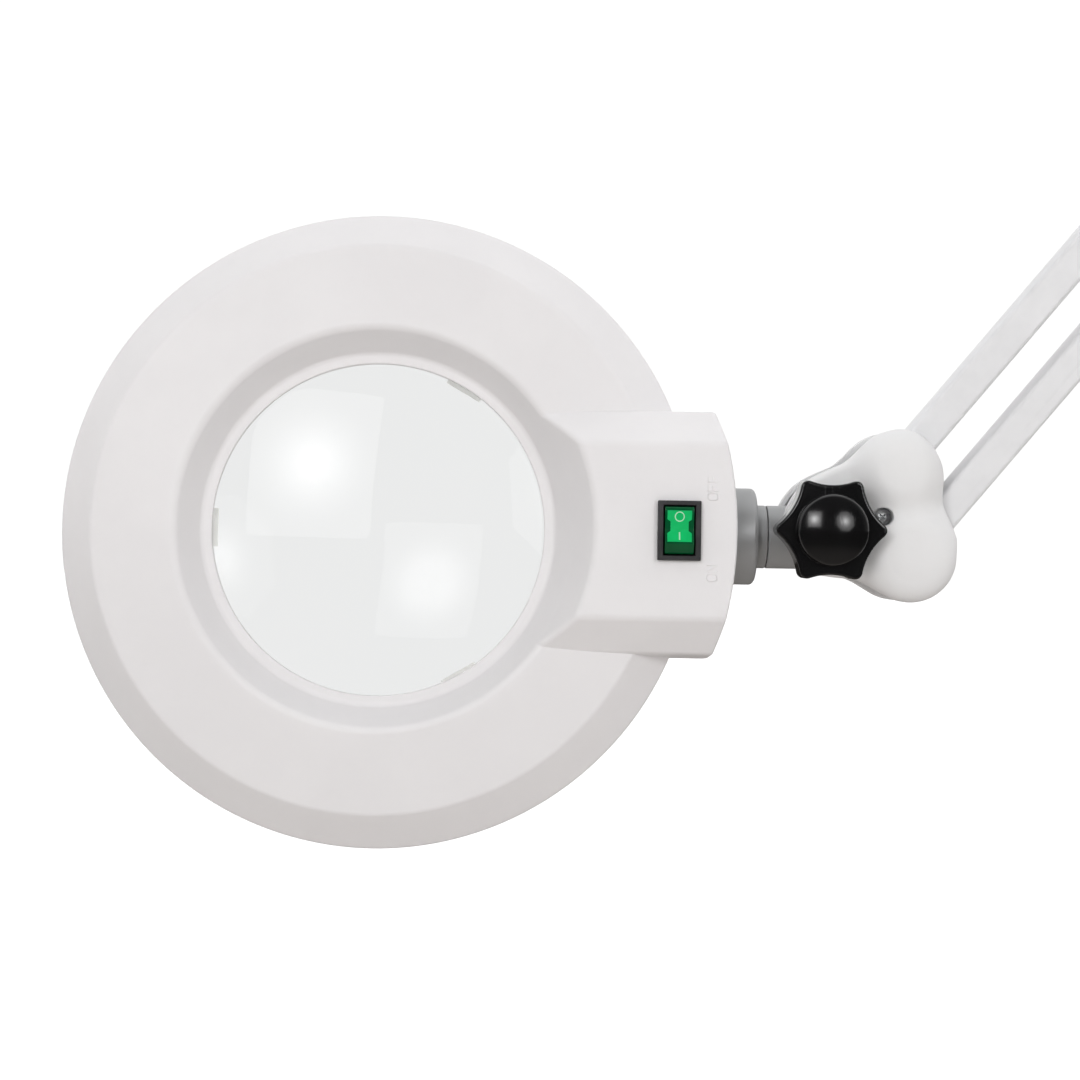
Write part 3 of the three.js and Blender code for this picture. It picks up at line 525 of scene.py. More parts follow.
def surface(field, low, high, step, sweeps=4):
    """The zero surface of a field as points, four-sided faces and normals."""
    axes = [np.arange(a, b + step, step) for a, b in zip(low, high)]
    x, y, z = np.meshgrid(*axes, indexing="ij", sparse=True)
    value = np.array(np.broadcast_to(field(x, y, z), [len(a) for a in axes]))
    inside = value < 0
    offsets = np.array([[i, j, k] for i in (0, 1) for j in (0, 1) for k in (0, 1)])
    full = [slice(None, -1), slice(1, None)]
    count = sum(inside[full[i], full[j], full[k]].astype(np.int8) for i, j, k in offsets)
    mixed = (count > 0) & (count < 8)
    index = np.full(mixed.shape, -1, np.int64)
    index[mixed] = np.arange(mixed.sum())
    cells = np.argwhere(mixed)
    corner = [value[tuple((cells + o).T)] for o in offsets]
    total, crossings = np.zeros((len(cells), 3)), np.zeros(len(cells))
    for a in range(8):
        for b in range(a + 1, 8):
            if np.abs(offsets[a] - offsets[b]).sum() != 1:
                continue
            changed = (corner[a] < 0) != (corner[b] < 0)
            t = np.where(changed, corner[a] / np.where(changed, corner[a] - corner[b], 1), 0)
            total += changed[:, None] * (offsets[a] + t[:, None] * (offsets[b] - offsets[a]))
            crossings += changed
    points = np.array(low) + step * (cells + total / crossings[:, None])

    def slope(p, h=0.02):
        parts = []
        for k in range(3):
            d = np.zeros(3)
            d[k] = h
            parts.append((field(*(p + d).T) - field(*(p - d).T)) / (2 * h))
        return np.stack(parts, 1)

    for _ in range(sweeps):
        g = slope(points)
        move = -(field(*points.T) / np.maximum((g * g).sum(1), 0.2))[:, None] * g
        points += np.clip(move, -step * 0.5, step * 0.5)
    normals = slope(points)
    normals /= np.linalg.norm(normals, axis=1)[:, None] + 1e-12
    faces = []
    for d in range(3):
        u, v = (d + 1) % 3, (d + 2) % 3
        before, after = [slice(None)] * 3, [slice(None)] * 3
        before[d], after[d] = slice(None, -1), slice(1, None)
        low_in, high_in = inside[tuple(before)], inside[tuple(after)]
        inner = [slice(None)] * 3
        inner[u] = inner[v] = slice(1, -1)
        nodes = np.argwhere((low_in != high_in)[tuple(inner)])
        nodes[:, u] += 1
        nodes[:, v] += 1
        if not len(nodes):
            continue
        eu, ev = np.zeros(3, int), np.zeros(3, int)
        eu[u] = ev[v] = 1
        quad = np.stack([index[tuple((nodes - s).T)] for s in (eu + ev, ev, 0 * eu, eu)], 1)
        outward = low_in[tuple(nodes.T)]
        faces.append(np.where(outward[:, None], quad, quad[:, ::-1]))
    return points, np.concatenate(faces), normals


def moulded(field, low, high, step, where, mirror=False):
    """A mesh of a distance field. mirror makes the rear half of a pair."""
    points, faces, normals = surface(field, low, high, step)
    if mirror:
        points, normals, faces = points * (1, 1, -1), normals * (1, 1, -1), faces[:, ::-1]
    return tidy(points, faces.tolist(), where, normals)


# ---------------------------------------------------------------- lamp head
CONE_FOOT, CREST = (63.5, 8), (71.2, 20)  # radius and height of the ring's inner cone
SWITCH_X = 106.6
NECK_END_X, NECK_END = -4.9, 132  # the round end of the neck box, its centre and radius
CONE_SLOPE = (CREST[0] - CONE_FOOT[0]) / (CREST[1] - CONE_FOOT[1])


def ring_shell():
    outer = [
        (59.7, 6.3), (59.7, 8), CONE_FOOT, CREST, (101.4, 17), (114.5, 5), (114.5, -6), (114.5, -18),
        (112.2, -18), (112.2, -6), (112.2, 4), (100.5, 14.7), (72.6, 17.5), (66.3, 7.8), (66.3, -15),
        (64, -15), (64, 6.3),
    ]
    radii = [0.3, 0.6, 2.2, 3.4, 2.6, 2.4, 0, 0.9, 0.5, 0, 1, 1, 1, 0.8, 0.4, 0.4, 0.4]
    points, faces = lathe(rounded(outer, radii, True, 5), 240, closed=True)
    p = np.array(points)

    def hidden(face):  # the part of the ring inside the neck box
        x, y, z = p[list(face)].mean(0)
        return x > 0 and abs(y) < 38 and math.hypot(x, y) > 79 and z > -6

    return points, [f for f in faces if not hidden(f)]


def neck_field(x, y, z):
    r = np.hypot(x, y)
    side = np.abs(y)
    chamfer = (side - 43.1) * 0.6954 + (z - 18) * 0.7186
    shoulder = (side - 44.6) * 0.9934 + (z - 5) * 0.1146
    end = np.hypot(x - NECK_END_X, y) - NECK_END
    top = meet(meet(z - 30, chamfer, 1.1), meet(shoulder, side - 44.6, 1.0), 1.0)
    block = meet(top, end, 0.8)
    cone = (CONE_FOOT[0] + CONE_SLOPE * (z - CONE_FOOT[1]) - r) * 0.8416
    tuck = 0.14 * np.clip((20.5 - z) / 4, 0, 1)
    outside = meet(meet(block, cone + tuck, 1.7), -18 - z, 0.5)
    hollow = meet(block + 2.3, cone + 2.4, 0.0)
    roof = np.maximum(
        np.maximum((r - 66.3) * -0.8384 + (z - 7.8) * 0.5445, (r - 72.6) * 0.0999 + (z - 17.5) * 0.995),
        (r - 100.5) * 0.675 + (z - 14.7) * 0.738,
    )
    channel = np.maximum(np.maximum(66.3 - r, r - 112.2), roof)
    switch = np.maximum(np.maximum(np.abs(x - SWITCH_X) - 6.65, side - 9.55), 20 - z)
    bore = np.maximum(np.hypot(y, z) - 7.4, 110 - x)
    cuts = np.minimum(np.minimum(hollow, channel), np.minimum(switch, bore))
    return np.maximum(np.maximum(outside, -cuts), 66.6 - r)


def neck_cover_field(x, y, z):
    r = np.hypot(x, y)
    side = np.abs(y) - 44.2
    end = np.hypot(x - NECK_END_X, y) - (NECK_END - 0.4)
    plan = meet(meet(side, end, 1.5), 115.1 - r, 0.4)
    body = meet(meet(plan, -23.3 - z, 1.4), z + 18.3, 0.3)
    hollow = np.maximum(plan + 2.3, -21.3 - z)
    return np.maximum(body, -hollow)


LETTERS = {
    "O": [[(0.5, 0), (1.9, 0), (2.4, 0.6), (2.4, 2.8), (1.9, 3.4), (0.5, 3.4), (0, 2.8), (0, 0.6), (0.5, 0)]],
    "F": [[(0, 0), (0, 3.4), (2.0, 3.4)], [(0, 1.8), (1.6, 1.8)]],
    "N": [[(0, 0), (0, 3.4), (2.2, 0), (2.2, 3.4)]],
}


def raised_word(word, x, y, advance=3.2, width=0.42, z=(29.9, 30.42)):
    """Raised strokes that read upwards along y, with the tops of the letters towards -x."""
    bars = []
    for i, letter in enumerate(word):
        for stroke in LETTERS[letter]:
            for (ax, ay), (bx, by) in zip(stroke, stroke[1:]):
                start = Vector((x - ay, y + i * advance + ax))
                end = Vector((x - by, y + i * advance + bx))
                run = (end - start).normalized() * (width / 2)
                side = Vector((-run.y, run.x))
                corners = [(start, side - run), (start, -side - run), (end, run - side), (end, run + side)]
                levels = [([tuple(p + out * size) for p, out in corners], h) for size, h in zip((1, 0.5), z)]
                bars.append(stack(levels))
    return merged(*bars)


def add_head():
    neck = moulded(neck_field, (57, -46.4, -19.6), (129.2, 46.4, 32), 0.8, HEAD)
    words = merged(raised_word("OFF", 120.0, 10.9), raised_word("ON", 120.0, -17.4, 3.4))
    shell = tidy(*ring_shell(), HEAD, crease=60)
    piece("housing_shell", [shell, neck, tidy(*words, HEAD)], "head", "white_shell", ["upper_housing"])
    cover = moulded(neck_cover_field, (104, -46, -24.6), (128.6, 46, -17), 0.55, HEAD)
    piece("neck_tray", cover, "head", "white_shell", ["neck_cover"])

    low, high, inner, outer = -17.4, -15.4, 62.4, 111.9
    ribs = [(inner + (outer - inner) * k / 60, low + (0.22 if k % 2 else 0)) for k in range(1, 60)]
    skin = [(inner, low + 0.3), *ribs, (outer, low + 0.3), (outer - 0.2, high), (inner + 0.2, high)]
    diffuser = tidy(*lathe(skin, 160, closed=True), HEAD, crease=20)
    piece("diffuser", diffuser, "head", "frosted", ["light_cover"])

    radius, curve, edge = 63.5, 346.0, 3.0
    rise = lambda r: math.sqrt(curve**2 - r**2) - math.sqrt(curve**2 - radius**2)
    radii = [radius * k / 20 for k in range(21)]
    low, high, chamfer = 2.3, 2.3 + edge, 0.4
    profile = [(r, low - rise(r)) for r in radii[:-1]] + [(radius - chamfer, low), (radius, low + chamfer)]
    profile += [(radius, high - chamfer), (radius - chamfer, high)]
    profile += [(r, high + rise(r)) for r in radii[-2::-1]]
    piece("lens_glass", tidy(*lathe(profile, 128), HEAD, crease=40), "head", "glass", ["lens"])

    clip = rounded([(63, -12), (63, -1.2), (62.7, 0.4), (57.9, 0.4)], 0.9, steps=4)
    back = rounded([(62.1, -12), (62.1, -0.6), (57.9, -0.5)], 0.8, steps=6)
    outline = clip + back[::-1]
    for angle in (60, 180, 300):
        stood = HEAD @ spin(angle, "Z") @ spin(90, "X")
        mesh = tidy(*prism(outline, -6.9, 6.9), stood, soft=0.25, segments=2)
        # the clips take the cream enamel with its painted glow
        piece(f"lens_tab_{angle}", mesh, "head", "steel", [f"lens_clip_{angle}"], TAB_ENAMEL_WITH_PAINTED_GLOW)

    bend, thickness, rows, across = 91, 13.8, 97, 24
    points, half = [], math.radians(8.2)
    for a in np.linspace(half, 2 * math.pi - half, rows):
        for t in np.linspace(0, 2 * math.pi, across, endpoint=False):
            r = bend + thickness * math.cos(t)
            points.append((r * math.cos(a), r * math.sin(a), thickness * math.sin(t) - 0.8))
    piece("ring_tube", tidy(points, tube_faces(rows, across), HEAD), "head", "lamp_glass", ["ring_lamp"])
    piece("tube_base", tidy(*box(77, 104.5, -10.2, 10.2, -14.6, 12.4), HEAD, soft=1.6), "head", "white_shell",
          ["lamp_base"])
    piece("tube_socket", tidy(*box(104.8, 111, -9, 9, -14.6, 3), HEAD, soft=0.8), "head", "white_shell",
          ["lamp_socket"])


# ---------------------------------------------------------------- switch
def add_switch():
    x, radius = SWITCH_X, 0.4
    sizes = [
        (12.9, 18.7, 14.6), (12.9, 18.7, 30.3), (14.9, 20.6, 30.3), (15.1, 20.8, 30.4), (15.1, 20.8, 32.05),
        (15.0, 20.7, 32.22), (14.8, 20.5, 32.3), (11.5, 17.9, 32.3), (11.25, 17.65, 32.2), (11.1, 17.5, 31.9),
        (11.0, 17.4, 30.6), (11.0, 17.4, 21.0),
    ]
    levels = [(rounded_rectangle(w, h, radius, 5, x), z) for w, h, z in sizes]
    body = tidy(*stack(levels), HEAD, crease=34)
    blades = merged(box(x + 2, x + 2.8, -7, -2, 7, 16), box(x + 2, x + 2.8, 2, 7, 7, 16))
    piece("switch_frame", [body, tidy(*blades, HEAD)], "head", "black_frame", ["switch_body"])

    lean = HEAD @ Matrix.Translation((x, 0, 30.6)) @ spin(-7, "X")
    stood = lean @ spin(90, "Z") @ spin(90, "X")
    top = lambda y: 1.35 + 1.25 * min(abs(y) / 5.2, 1.25) ** 1.15
    side = [(-8.2, -3), (8.2, -3), (8.2, 1.9), (8.0, 2.6), (7.5, 3.0), (6.9, top(6.9))]
    side += [(y, top(y)) for y in np.linspace(6.4, -4.4, 23)]
    side += [(-5.0, 2.3), (-7.9, 0.0), (-8.2, -0.5)]
    rocker = tidy(*prism(side, -5.1, 5.1), stood, soft=0.35, segments=2)
    piece("rocker", rocker, "rocker", "green", ["switch_rocker"])

    def half_width(y):
        return float(np.interp(y, [-4.6, -1.2, -0.4, 2.9, 3.5, 6.8], [4.25, 4.25, 3.15, 3.15, 4.25, 4.25]))

    rows, across = 45, 9
    points = []
    for y in np.linspace(-4.35, 6.6, rows):
        points += [(k * half_width(y), y, top(y) + 0.06) for k in np.linspace(-1, 1, across)]
    window = thick(points, grid(rows, across, open_rows=True), 0.1)
    piece("rocker_window", tidy(*window, lean, crease=30), "rocker", "green", [], WINDOW)

    circle, middle, steps = [], 4.5, 40
    for r, rise in ((1.73, 0.0), (1.68, 0.05), (1.42, 0.05), (1.37, 0.0)):
        for t in np.linspace(0, 2 * math.pi, steps, endpoint=False):
            y = middle + r * math.sin(t)
            circle.append((r * math.cos(t), y, top(y) + 0.06 + rise))
    line = []
    for y in np.linspace(-3.65, -0.85, 9):
        line += [(s, y, top(y) + 0.07 + d) for s, d in ((-0.24, 0), (-0.2, 0.05), (0.2, 0.05), (0.24, 0))]
    marks = merged((circle, grid(4, steps, ring=True)), (line, tube_faces(9, 4)))
    piece("rocker_marks", tidy(*marks, lean), "rocker", "green", [], MARKS)


def thick(points, faces, depth):
    """A sheet given a back face and edges, depth below it."""
    count = len(points)
    edges = dict.fromkeys((a, b) for f in faces for a, b in zip(f, (*f[1:], f[0])))
    rim = [(a, b) for a, b in edges if (b, a) not in edges]
    back = [(x, y, z - depth) for x, y, z in points]
    skirt = [(b, a, a + count, b + count) for a, b in rim]
    return [*points, *back], [*faces, *[tuple(i + count for i in f[::-1]) for f in faces], *skirt]


# ---------------------------------------------------------------- swivel and tilt joint
def add_swivel():
    foot = 127.4
    profile = [(7.4, foot), (17.5, foot), (17.5, 135.9), (11.4, 135.9), (11.4, 139.85), (7.4, 139.85)]
    path = rounded(profile, [0, 0.3, 1.9, 0.5, 0.5, 0], True, 5)
    points, faces = turned(lathe(path, 96, closed=True), ALONG_X)
    seat = lambda y: NECK_END_X + math.sqrt((NECK_END + 0.3) ** 2 - y * y)
    points = [(seat(y) + x - foot if x < foot + 0.5 else x, y, z) for x, y, z in points]
    piece("flange", tidy(points, faces, HEAD), "head", "grey_paint", ["swivel_flange"])

    tx, ty = TILT_FROM_LENS

    def field(x, y, z):
        ring = np.hypot(x - tx, y - ty)
        shank = meet(np.hypot(y, z) - 11.4, np.maximum(140.05 - x, x - 148.7), 0.3)
        shank = meet(shank, 13.8 - ring, 0.4)
        web = np.maximum(np.maximum(141.5 - x, x - tx), np.hypot(y, z) - 11.4)
        eye = meet(union(ring - 12.5, web, 2.0), np.abs(z) - 8.7, 0.8)
        spigot = meet(np.hypot(y, z) - 7, np.maximum(114.8 - x, x - 142), 0.4)
        body = np.minimum(np.minimum(shank, eye), spigot)
        return np.maximum(body, 4.4 - ring)

    knuckle = moulded(field, (113.8, -12.8, -12.6), (173, 16.6, 12.6), 0.6, KNUCKLE)
    piece("knuckle_casting", knuckle, "knuckle", "grey_paint", ["tilt_knuckle"])


def smooth_loop(points, repeats=2):
    """Corner cutting, which turns a coarse outline into a smooth one that touches its sides."""
    p = np.array(points, float)
    for _ in range(repeats):
        q = np.roll(p, -1, axis=0)
        p = np.stack([0.75 * p + 0.25 * q, 0.25 * p + 0.75 * q], 1).reshape(-1, 2)
    return p


def convex_wrap(circles, steps=40):
    """The convex outline round several circles (x, y, radius)."""
    points = sorted({
        (round(x + r * math.cos(a), 6), round(y + r * math.sin(a), 6))
        for x, y, r in circles for a in np.linspace(0, 2 * math.pi, steps, endpoint=False)
    })

    def turn(a, b, c):
        return (b[0] - a[0]) * (c[1] - a[1]) - (b[1] - a[1]) * (c[0] - a[0])

    def half(ordered):
        chain = []
        for p in ordered:
            while len(chain) > 1 and turn(chain[-2], chain[-1], p) <= 1e-9:
                chain.pop()
            chain.append(p)
        return chain[:-1]

    return half(points) + half(points[::-1])


COVER = {"back": 11.7, "front": 17.5, "dome": 24.5, "wall": 2.0, "shoulder": 7.0, "bulge": 0.7}


def cover_field(outline, domes, bores=(), recess=None):
    """Half a joint cover: a hollow slab with a dome over each pivot and a ridge from dome to dome."""
    plan = polygon_distance(outline)

    def bridge(x, y, z, inset):
        best = np.inf
        for (ax, ay, _), (bx, by, _) in zip(domes, domes[1:]):
            ex, ey = bx - ax, by - ay
            t = np.clip(((x - ax) * ex + (y - ay) * ey) / (ex * ex + ey * ey), 0, 1)
            best = np.minimum(best, np.hypot(x - ax - t * ex, y - ay - t * ey))
        return meet(best - 7.5 + inset, z - (COVER["dome"] - 2.6 - inset), 5.0 - inset * 0.5)

    def shape(x, y, z, inset):
        body = meet(plan(x, y) + inset, z - (COVER["front"] - inset), 2.6 - inset * 0.4)
        for dx, dy, r in domes:
            far = np.hypot(x - dx, y - dy)
            drop = COVER["bulge"] * (1 - np.clip(1 - (far / r) ** 2, 0, 1))
            dome = meet(far - r + inset, z - (COVER["dome"] - drop - inset), COVER["shoulder"] - inset * 0.5)
            body = union(body, dome, 6.5)
        return union(body, bridge(x, y, z, inset), 6.5)

    def field(x, y, z):
        body = meet(shape(x, y, z, 0.0), COVER["back"] - z, 0.35)
        body = np.maximum(body, -shape(x, y, z, COVER["wall"]))
        for bx, by, r in bores:
            body = meet(body, r - np.hypot(x - bx, y - by), 0.3)
        if recess:
            far = np.hypot(x - recess[0], y - recess[1])
            body = meet(body, np.minimum(3.2 - far, z - 17.3), 0.25)
            body = np.maximum(body, 1.8 - far)
        return body

    return field


HEAD_COVER = [
    (26, -17.3), (13, -17.3), (3, -16.9), (-1.5, -15.8), (-5, -13.9), (-8.6, -11.4), (-11.6, -8.2),
    (-13.7, -4.2), (-14.7, 0.5), (-14.5, 5), (-12.9, 9.6), (-9.4, 14.9), (-5.2, 18.5), (-0.4, 20.9),
    (5.2, 23.3), (12.7, 26.8), (22, 31), (38, 24), (40.2, 19.5), (41.3, 12.3), (44.2, 0.4), (45, -4),
]
HEAD_DOMES = [(26, 22.1, 14.2), (30.3, -8.9, 16.3)]


def add_head_joint():
    outline = smooth_loop(HEAD_COVER)
    low, high, hole = (-16.4, -27, 10.6), (48.6, 38, 25.6), (0, 0, 4.5)
    for side, step, recess in (("front", 0.6, COVER_SCREW), ("rear", 0.7, None)):
        field = cover_field(outline, HEAD_DOMES, [hole], recess)
        mesh = moulded(field, low, high, step, BRACKET, mirror=side == "rear")
        piece(f"joint_cover_{side}", mesh, "head_bracket", "white_cover", [f"head_cover_{side}"])

    screw = place(*from_tilt(COVER_SCREW))

    def pan_head(x, y, z):
        r = np.hypot(x, y)
        disc = meet(r - 2.7, np.maximum(z - 19.5, 17.8 - z), 0.0)
        bowl = np.sqrt(r * r + (z - 15.6) ** 2) - 3.92
        head = meet(np.maximum(disc, bowl), 17.8 - z, 0.15)
        a, b = (x + y) * 0.7071, (x - y) * 0.7071
        taper = 0.34 * np.clip((z - 17.6) / 1.9, 0.2, 1)
        a, b = np.abs(a), np.abs(b)
        slots = np.minimum(np.maximum(a - taper, b - 1.35), np.maximum(b - taper, a - 1.35))
        return meet(head, -np.maximum(slots, 18.1 - z), 0.08)

    head = moulded(pan_head, (-3, -3, 17.4), (3, 3, 19.8), 0.13, screw)
    shank = tidy(*rod(1.5, 9.4, 17.9, 20), screw)
    piece("cover_screw", [head, shank], "head_bracket", "steel", ["head_cover_screw"])

    bolt = [(0, -21.7), (5.5, -21.5), (8.0, -20.2), (8.5, -19.0), (8.5, -17.8), (4, -17.8), (4, 31), (0, 31)]
    piece("tilt_screw", tidy(*lathe(bolt, 48), BRACKET), "head_bracket", "steel", ["tilt_bolt"])


def add_knob():
    tip, waist, hollow = 19.3, 15.6, 22.0

    def field(x, y, z):
        r = np.hypot(x, y)
        turn = (np.arctan2(y, x) + math.pi / 6) % (math.pi / 3) - math.pi / 6
        u, v = r * np.cos(turn), r * np.sin(turn)
        cx, cy = (waist + hollow) * math.cos(math.pi / 6), (waist + hollow) * math.sin(math.pi / 6)
        plan = meet(hollow - np.hypot(u - cx, v - cy), hollow - np.hypot(u - cx, v + cy), 1.5)
        plan = meet(plan, r - tip, 0.9)
        star = meet(meet(plan, z - 33, 0.9), 21 - z, 1.9)
        ball = np.sqrt(r * r + (z - 13.9) ** 2) - 26.6
        dome = meet(ball, r - 12.3, 0.9)
        boss = meet(r - 10, 18.1 - z, 0.6)
        body = union(np.minimum(star, np.maximum(dome, 22 - z)), np.maximum(boss, z - 23), 1.0)
        return np.maximum(body, -np.maximum(r - 4.4, z - 31.4))

    knob = moulded(field, (-20.4, -20.4, 17.2), (20.4, 20.4, 41.4), 0.4, BRACKET)
    piece("knob_star", knob, "knob", "black_knob", ["star_knob"])


# ---------------------------------------------------------------- arms
def spring_mesh(foot, angle):
    """Closed coils with a hook at each end, inside the tube."""
    wire, coil, start, end, pitch = 0.6, 3.6, 47, 233, 1.45
    turns, steps, sides = int((end - start) / pitch), 14, 6
    path = []
    for i in range(turns * steps + 1):
        a = 2 * math.pi * i / steps
        path.append((start + (end - start) * i / (turns * steps), coil * math.cos(a), coil * math.sin(a)))
    first_hook = [(14.5, 0, -3.3), (30, 0, -3.3), (44, 0.4, -3.4)]
    last_hook = [(236, 1.6, 2.0), (238.5, 0.3, 0.3), (243.4, 0, 0)]
    p = np.array([*first_hook, *path, *last_hook])
    tangent = np.gradient(p, axis=0)
    tangent /= np.linalg.norm(tangent, axis=1)[:, None]
    up = np.tile([0.0, 0.0, 1.0], (len(p), 1))
    coils = slice(3, len(p) - 3)
    up[coils] = p[coils] * (0, 1, 1) / coil
    side = np.cross(tangent, up)
    side /= np.linalg.norm(side, axis=1)[:, None] + 1e-9
    up = np.cross(side, tangent)
    turns_round = [2 * math.pi * k / sides for k in range(sides)]
    points = np.concatenate([p + wire * (math.cos(a) * up + math.sin(a) * side) for a in turns_round])
    faces = grid(sides, len(p), ring=True, open_rows=True)
    starts = range(0, len(points), len(p))
    faces += [tuple(starts), tuple(i + len(p) - 1 for i in reversed(starts))]
    return tidy(points, faces, place(*foot, turn_z=angle))


def add_arms():
    overhang, spring_end = 7.0, 246
    tubes = [
        ("upper_tube_top", "upper_arm", UPPER_ANGLE, from_tilt(PIVOT_UPPER)),
        ("upper_tube_bottom", "upper_link", UPPER_ANGLE, from_tilt(PIVOT_LOWER)),
        ("lower_tube_left", "lower_arm", LOWER_ANGLE, pivot("lower_arm_lift")),
        ("lower_tube_right", "lower_link", LOWER_ANGLE, pivot("lower_link_lift")),
    ]
    for node, body, angle, foot in tubes:
        where = place(*foot, turn_z=angle)
        a, b = -overhang, ARM_LENGTH + overhang
        sizes = [(17.6, 11.2, 1.3, a), (18, 11.6, 1.6, a + 0.25), (18, 11.6, 1.6, b - 0.25),
                 (17.6, 11.2, 1.3, b), (15.6, 9.2, 0.7, b), (15.6, 9.2, 0.7, a)]
        levels = [(rounded_rectangle(w, d, r), z) for w, d, r, z in sizes]
        holes = [turned(rod(3.3, -12, 12, 24), Matrix.Translation((x, 0, 0))) for x in (0, ARM_LENGTH)]
        sprung = node in ("upper_tube_bottom", "lower_tube_right")
        if sprung:
            holes.append(turned(rod(1.8, -12, 12, 16), Matrix.Translation((spring_end, 0, 0))))
        mesh = tidy(*turned(stack(levels, closed=True), ALONG_X), where, cutters=holes, crease=34)
        piece(node.replace("tube", "arm_tube"), mesh, body, "white_paint", [node])
        if sprung:
            name = node.split("_")[0]
            piece(name + "_spring", spring_mesh(foot, angle), body, "steel", [name + "_arm_spring"])
            half = [(0, 10.2), (1.9, 10.0), (2.3, 9.5), (2.4, 9.25), (1.5, 9.25)]
            rivet = lathe([(r, -z) for r, z in half] + half[::-1], 24)
            at = where @ Matrix.Translation((spring_end, 0, 0))
            piece(name + "_rivet", tidy(*rivet, at), body, "steel", [name + "_spring_rivet"])


def add_elbow():
    left = pivot("elbow_level")
    upper = [tuple(np.subtract(pivot(joint), left)) for joint in ("upper_link_lift", "upper_arm_lift")]
    points = [(0, 0), *upper, (31, 0)]
    outline = convex_wrap([(x, y, 12.6) for x, y in points])
    domes = [(x, y, 14.6) for x, y in points]
    xs, ys = [p[0] for p in points], [p[1] for p in points]
    low = (min(xs) - 15.6, min(ys) - 15.6, 10.6)
    high = (max(xs) + 15.6, max(ys) + 15.6, 25.6)
    field = cover_field(outline, domes)
    for side in ("front", "rear"):
        mesh = moulded(field, low, high, 0.75, place(*left), mirror=side == "rear")
        piece(f"elbow_shell_{side}", mesh, "elbow", "white_cover", [f"elbow_cover_{side}"])


# ---------------------------------------------------------------- base and clamp
def add_base():
    centre = (BASE_AXIS, pivot("lower_arm_lift")[1])
    ends = [(-15.5, 0), (15.5, 0)]
    outline = convex_wrap([(x, y, 12.6) for x, y in ends] + [(-9, -26, 5), (9, -26, 5)])
    field = cover_field(outline, [(x, y, 14.6) for x, y in ends])
    for side in ("front", "rear"):
        mesh = moulded(field, (-31, -32, 10.6), (31, 15.8, 25.6), 0.75, place(*centre), mirror=side == "rear")
        piece(f"base_shell_{side}", mesh, "turntable", "white_cover", [f"base_cover_{side}"])

    cheek = convex_wrap([(x, y, 9) for x, y in ends] + [(-9, -26, 4), (9, -26, 4)], 28)
    bores = [turned(rod(3.3, -20, 20, 24), Matrix.Translation((x, y, 0))) for x, y in ends]
    drill = [turned(rod(4.3, -34, -22, 24), ALONG_Y)]
    plates = [(prism(cheek, z, z + 2), bores) for z in (9.4, -11.4)]
    plates.append((box(-13, 13, -30, -26.5, -10.4, 10.4), drill))
    yoke = [tidy(*shape, place(*centre), soft=0.4, cutters=cuts, segments=2) for shape, cuts in plates]
    piece("yoke", yoke, "turntable", "steel", ["base_yoke"])
    pin = [(0, 14), (6, 14), (6, 46.3), (10.5, 46.3), (10.5, 53.7), (4, 53.7), (4, 57.8), (6.5, 57.8),
           (6.5, 60.5), (0, 60.5)]
    pin = rounded(pin, [0, 0.8, 0, 0.8, 0.8, 0, 0, 0.4, 1.4, 0])
    piece("pivot_pin", tidy(*lathe(pin, 48), BASE_UPRIGHT), "turntable", "steel", ["base_pin"])
    bush = [(6.3, 13.2), (8, 10.2), (8, 44.3), (11.5, 44.3), (11.5, 46), (6.3, 46)]
    bush = rounded(bush, [0.3, 0.5, 0, 0.3, 0.6, 0.4], True)
    piece("bush", tidy(*lathe(bush, 48, closed=True), BASE_UPRIGHT), "clamp", "black_frame", ["socket_bush"])


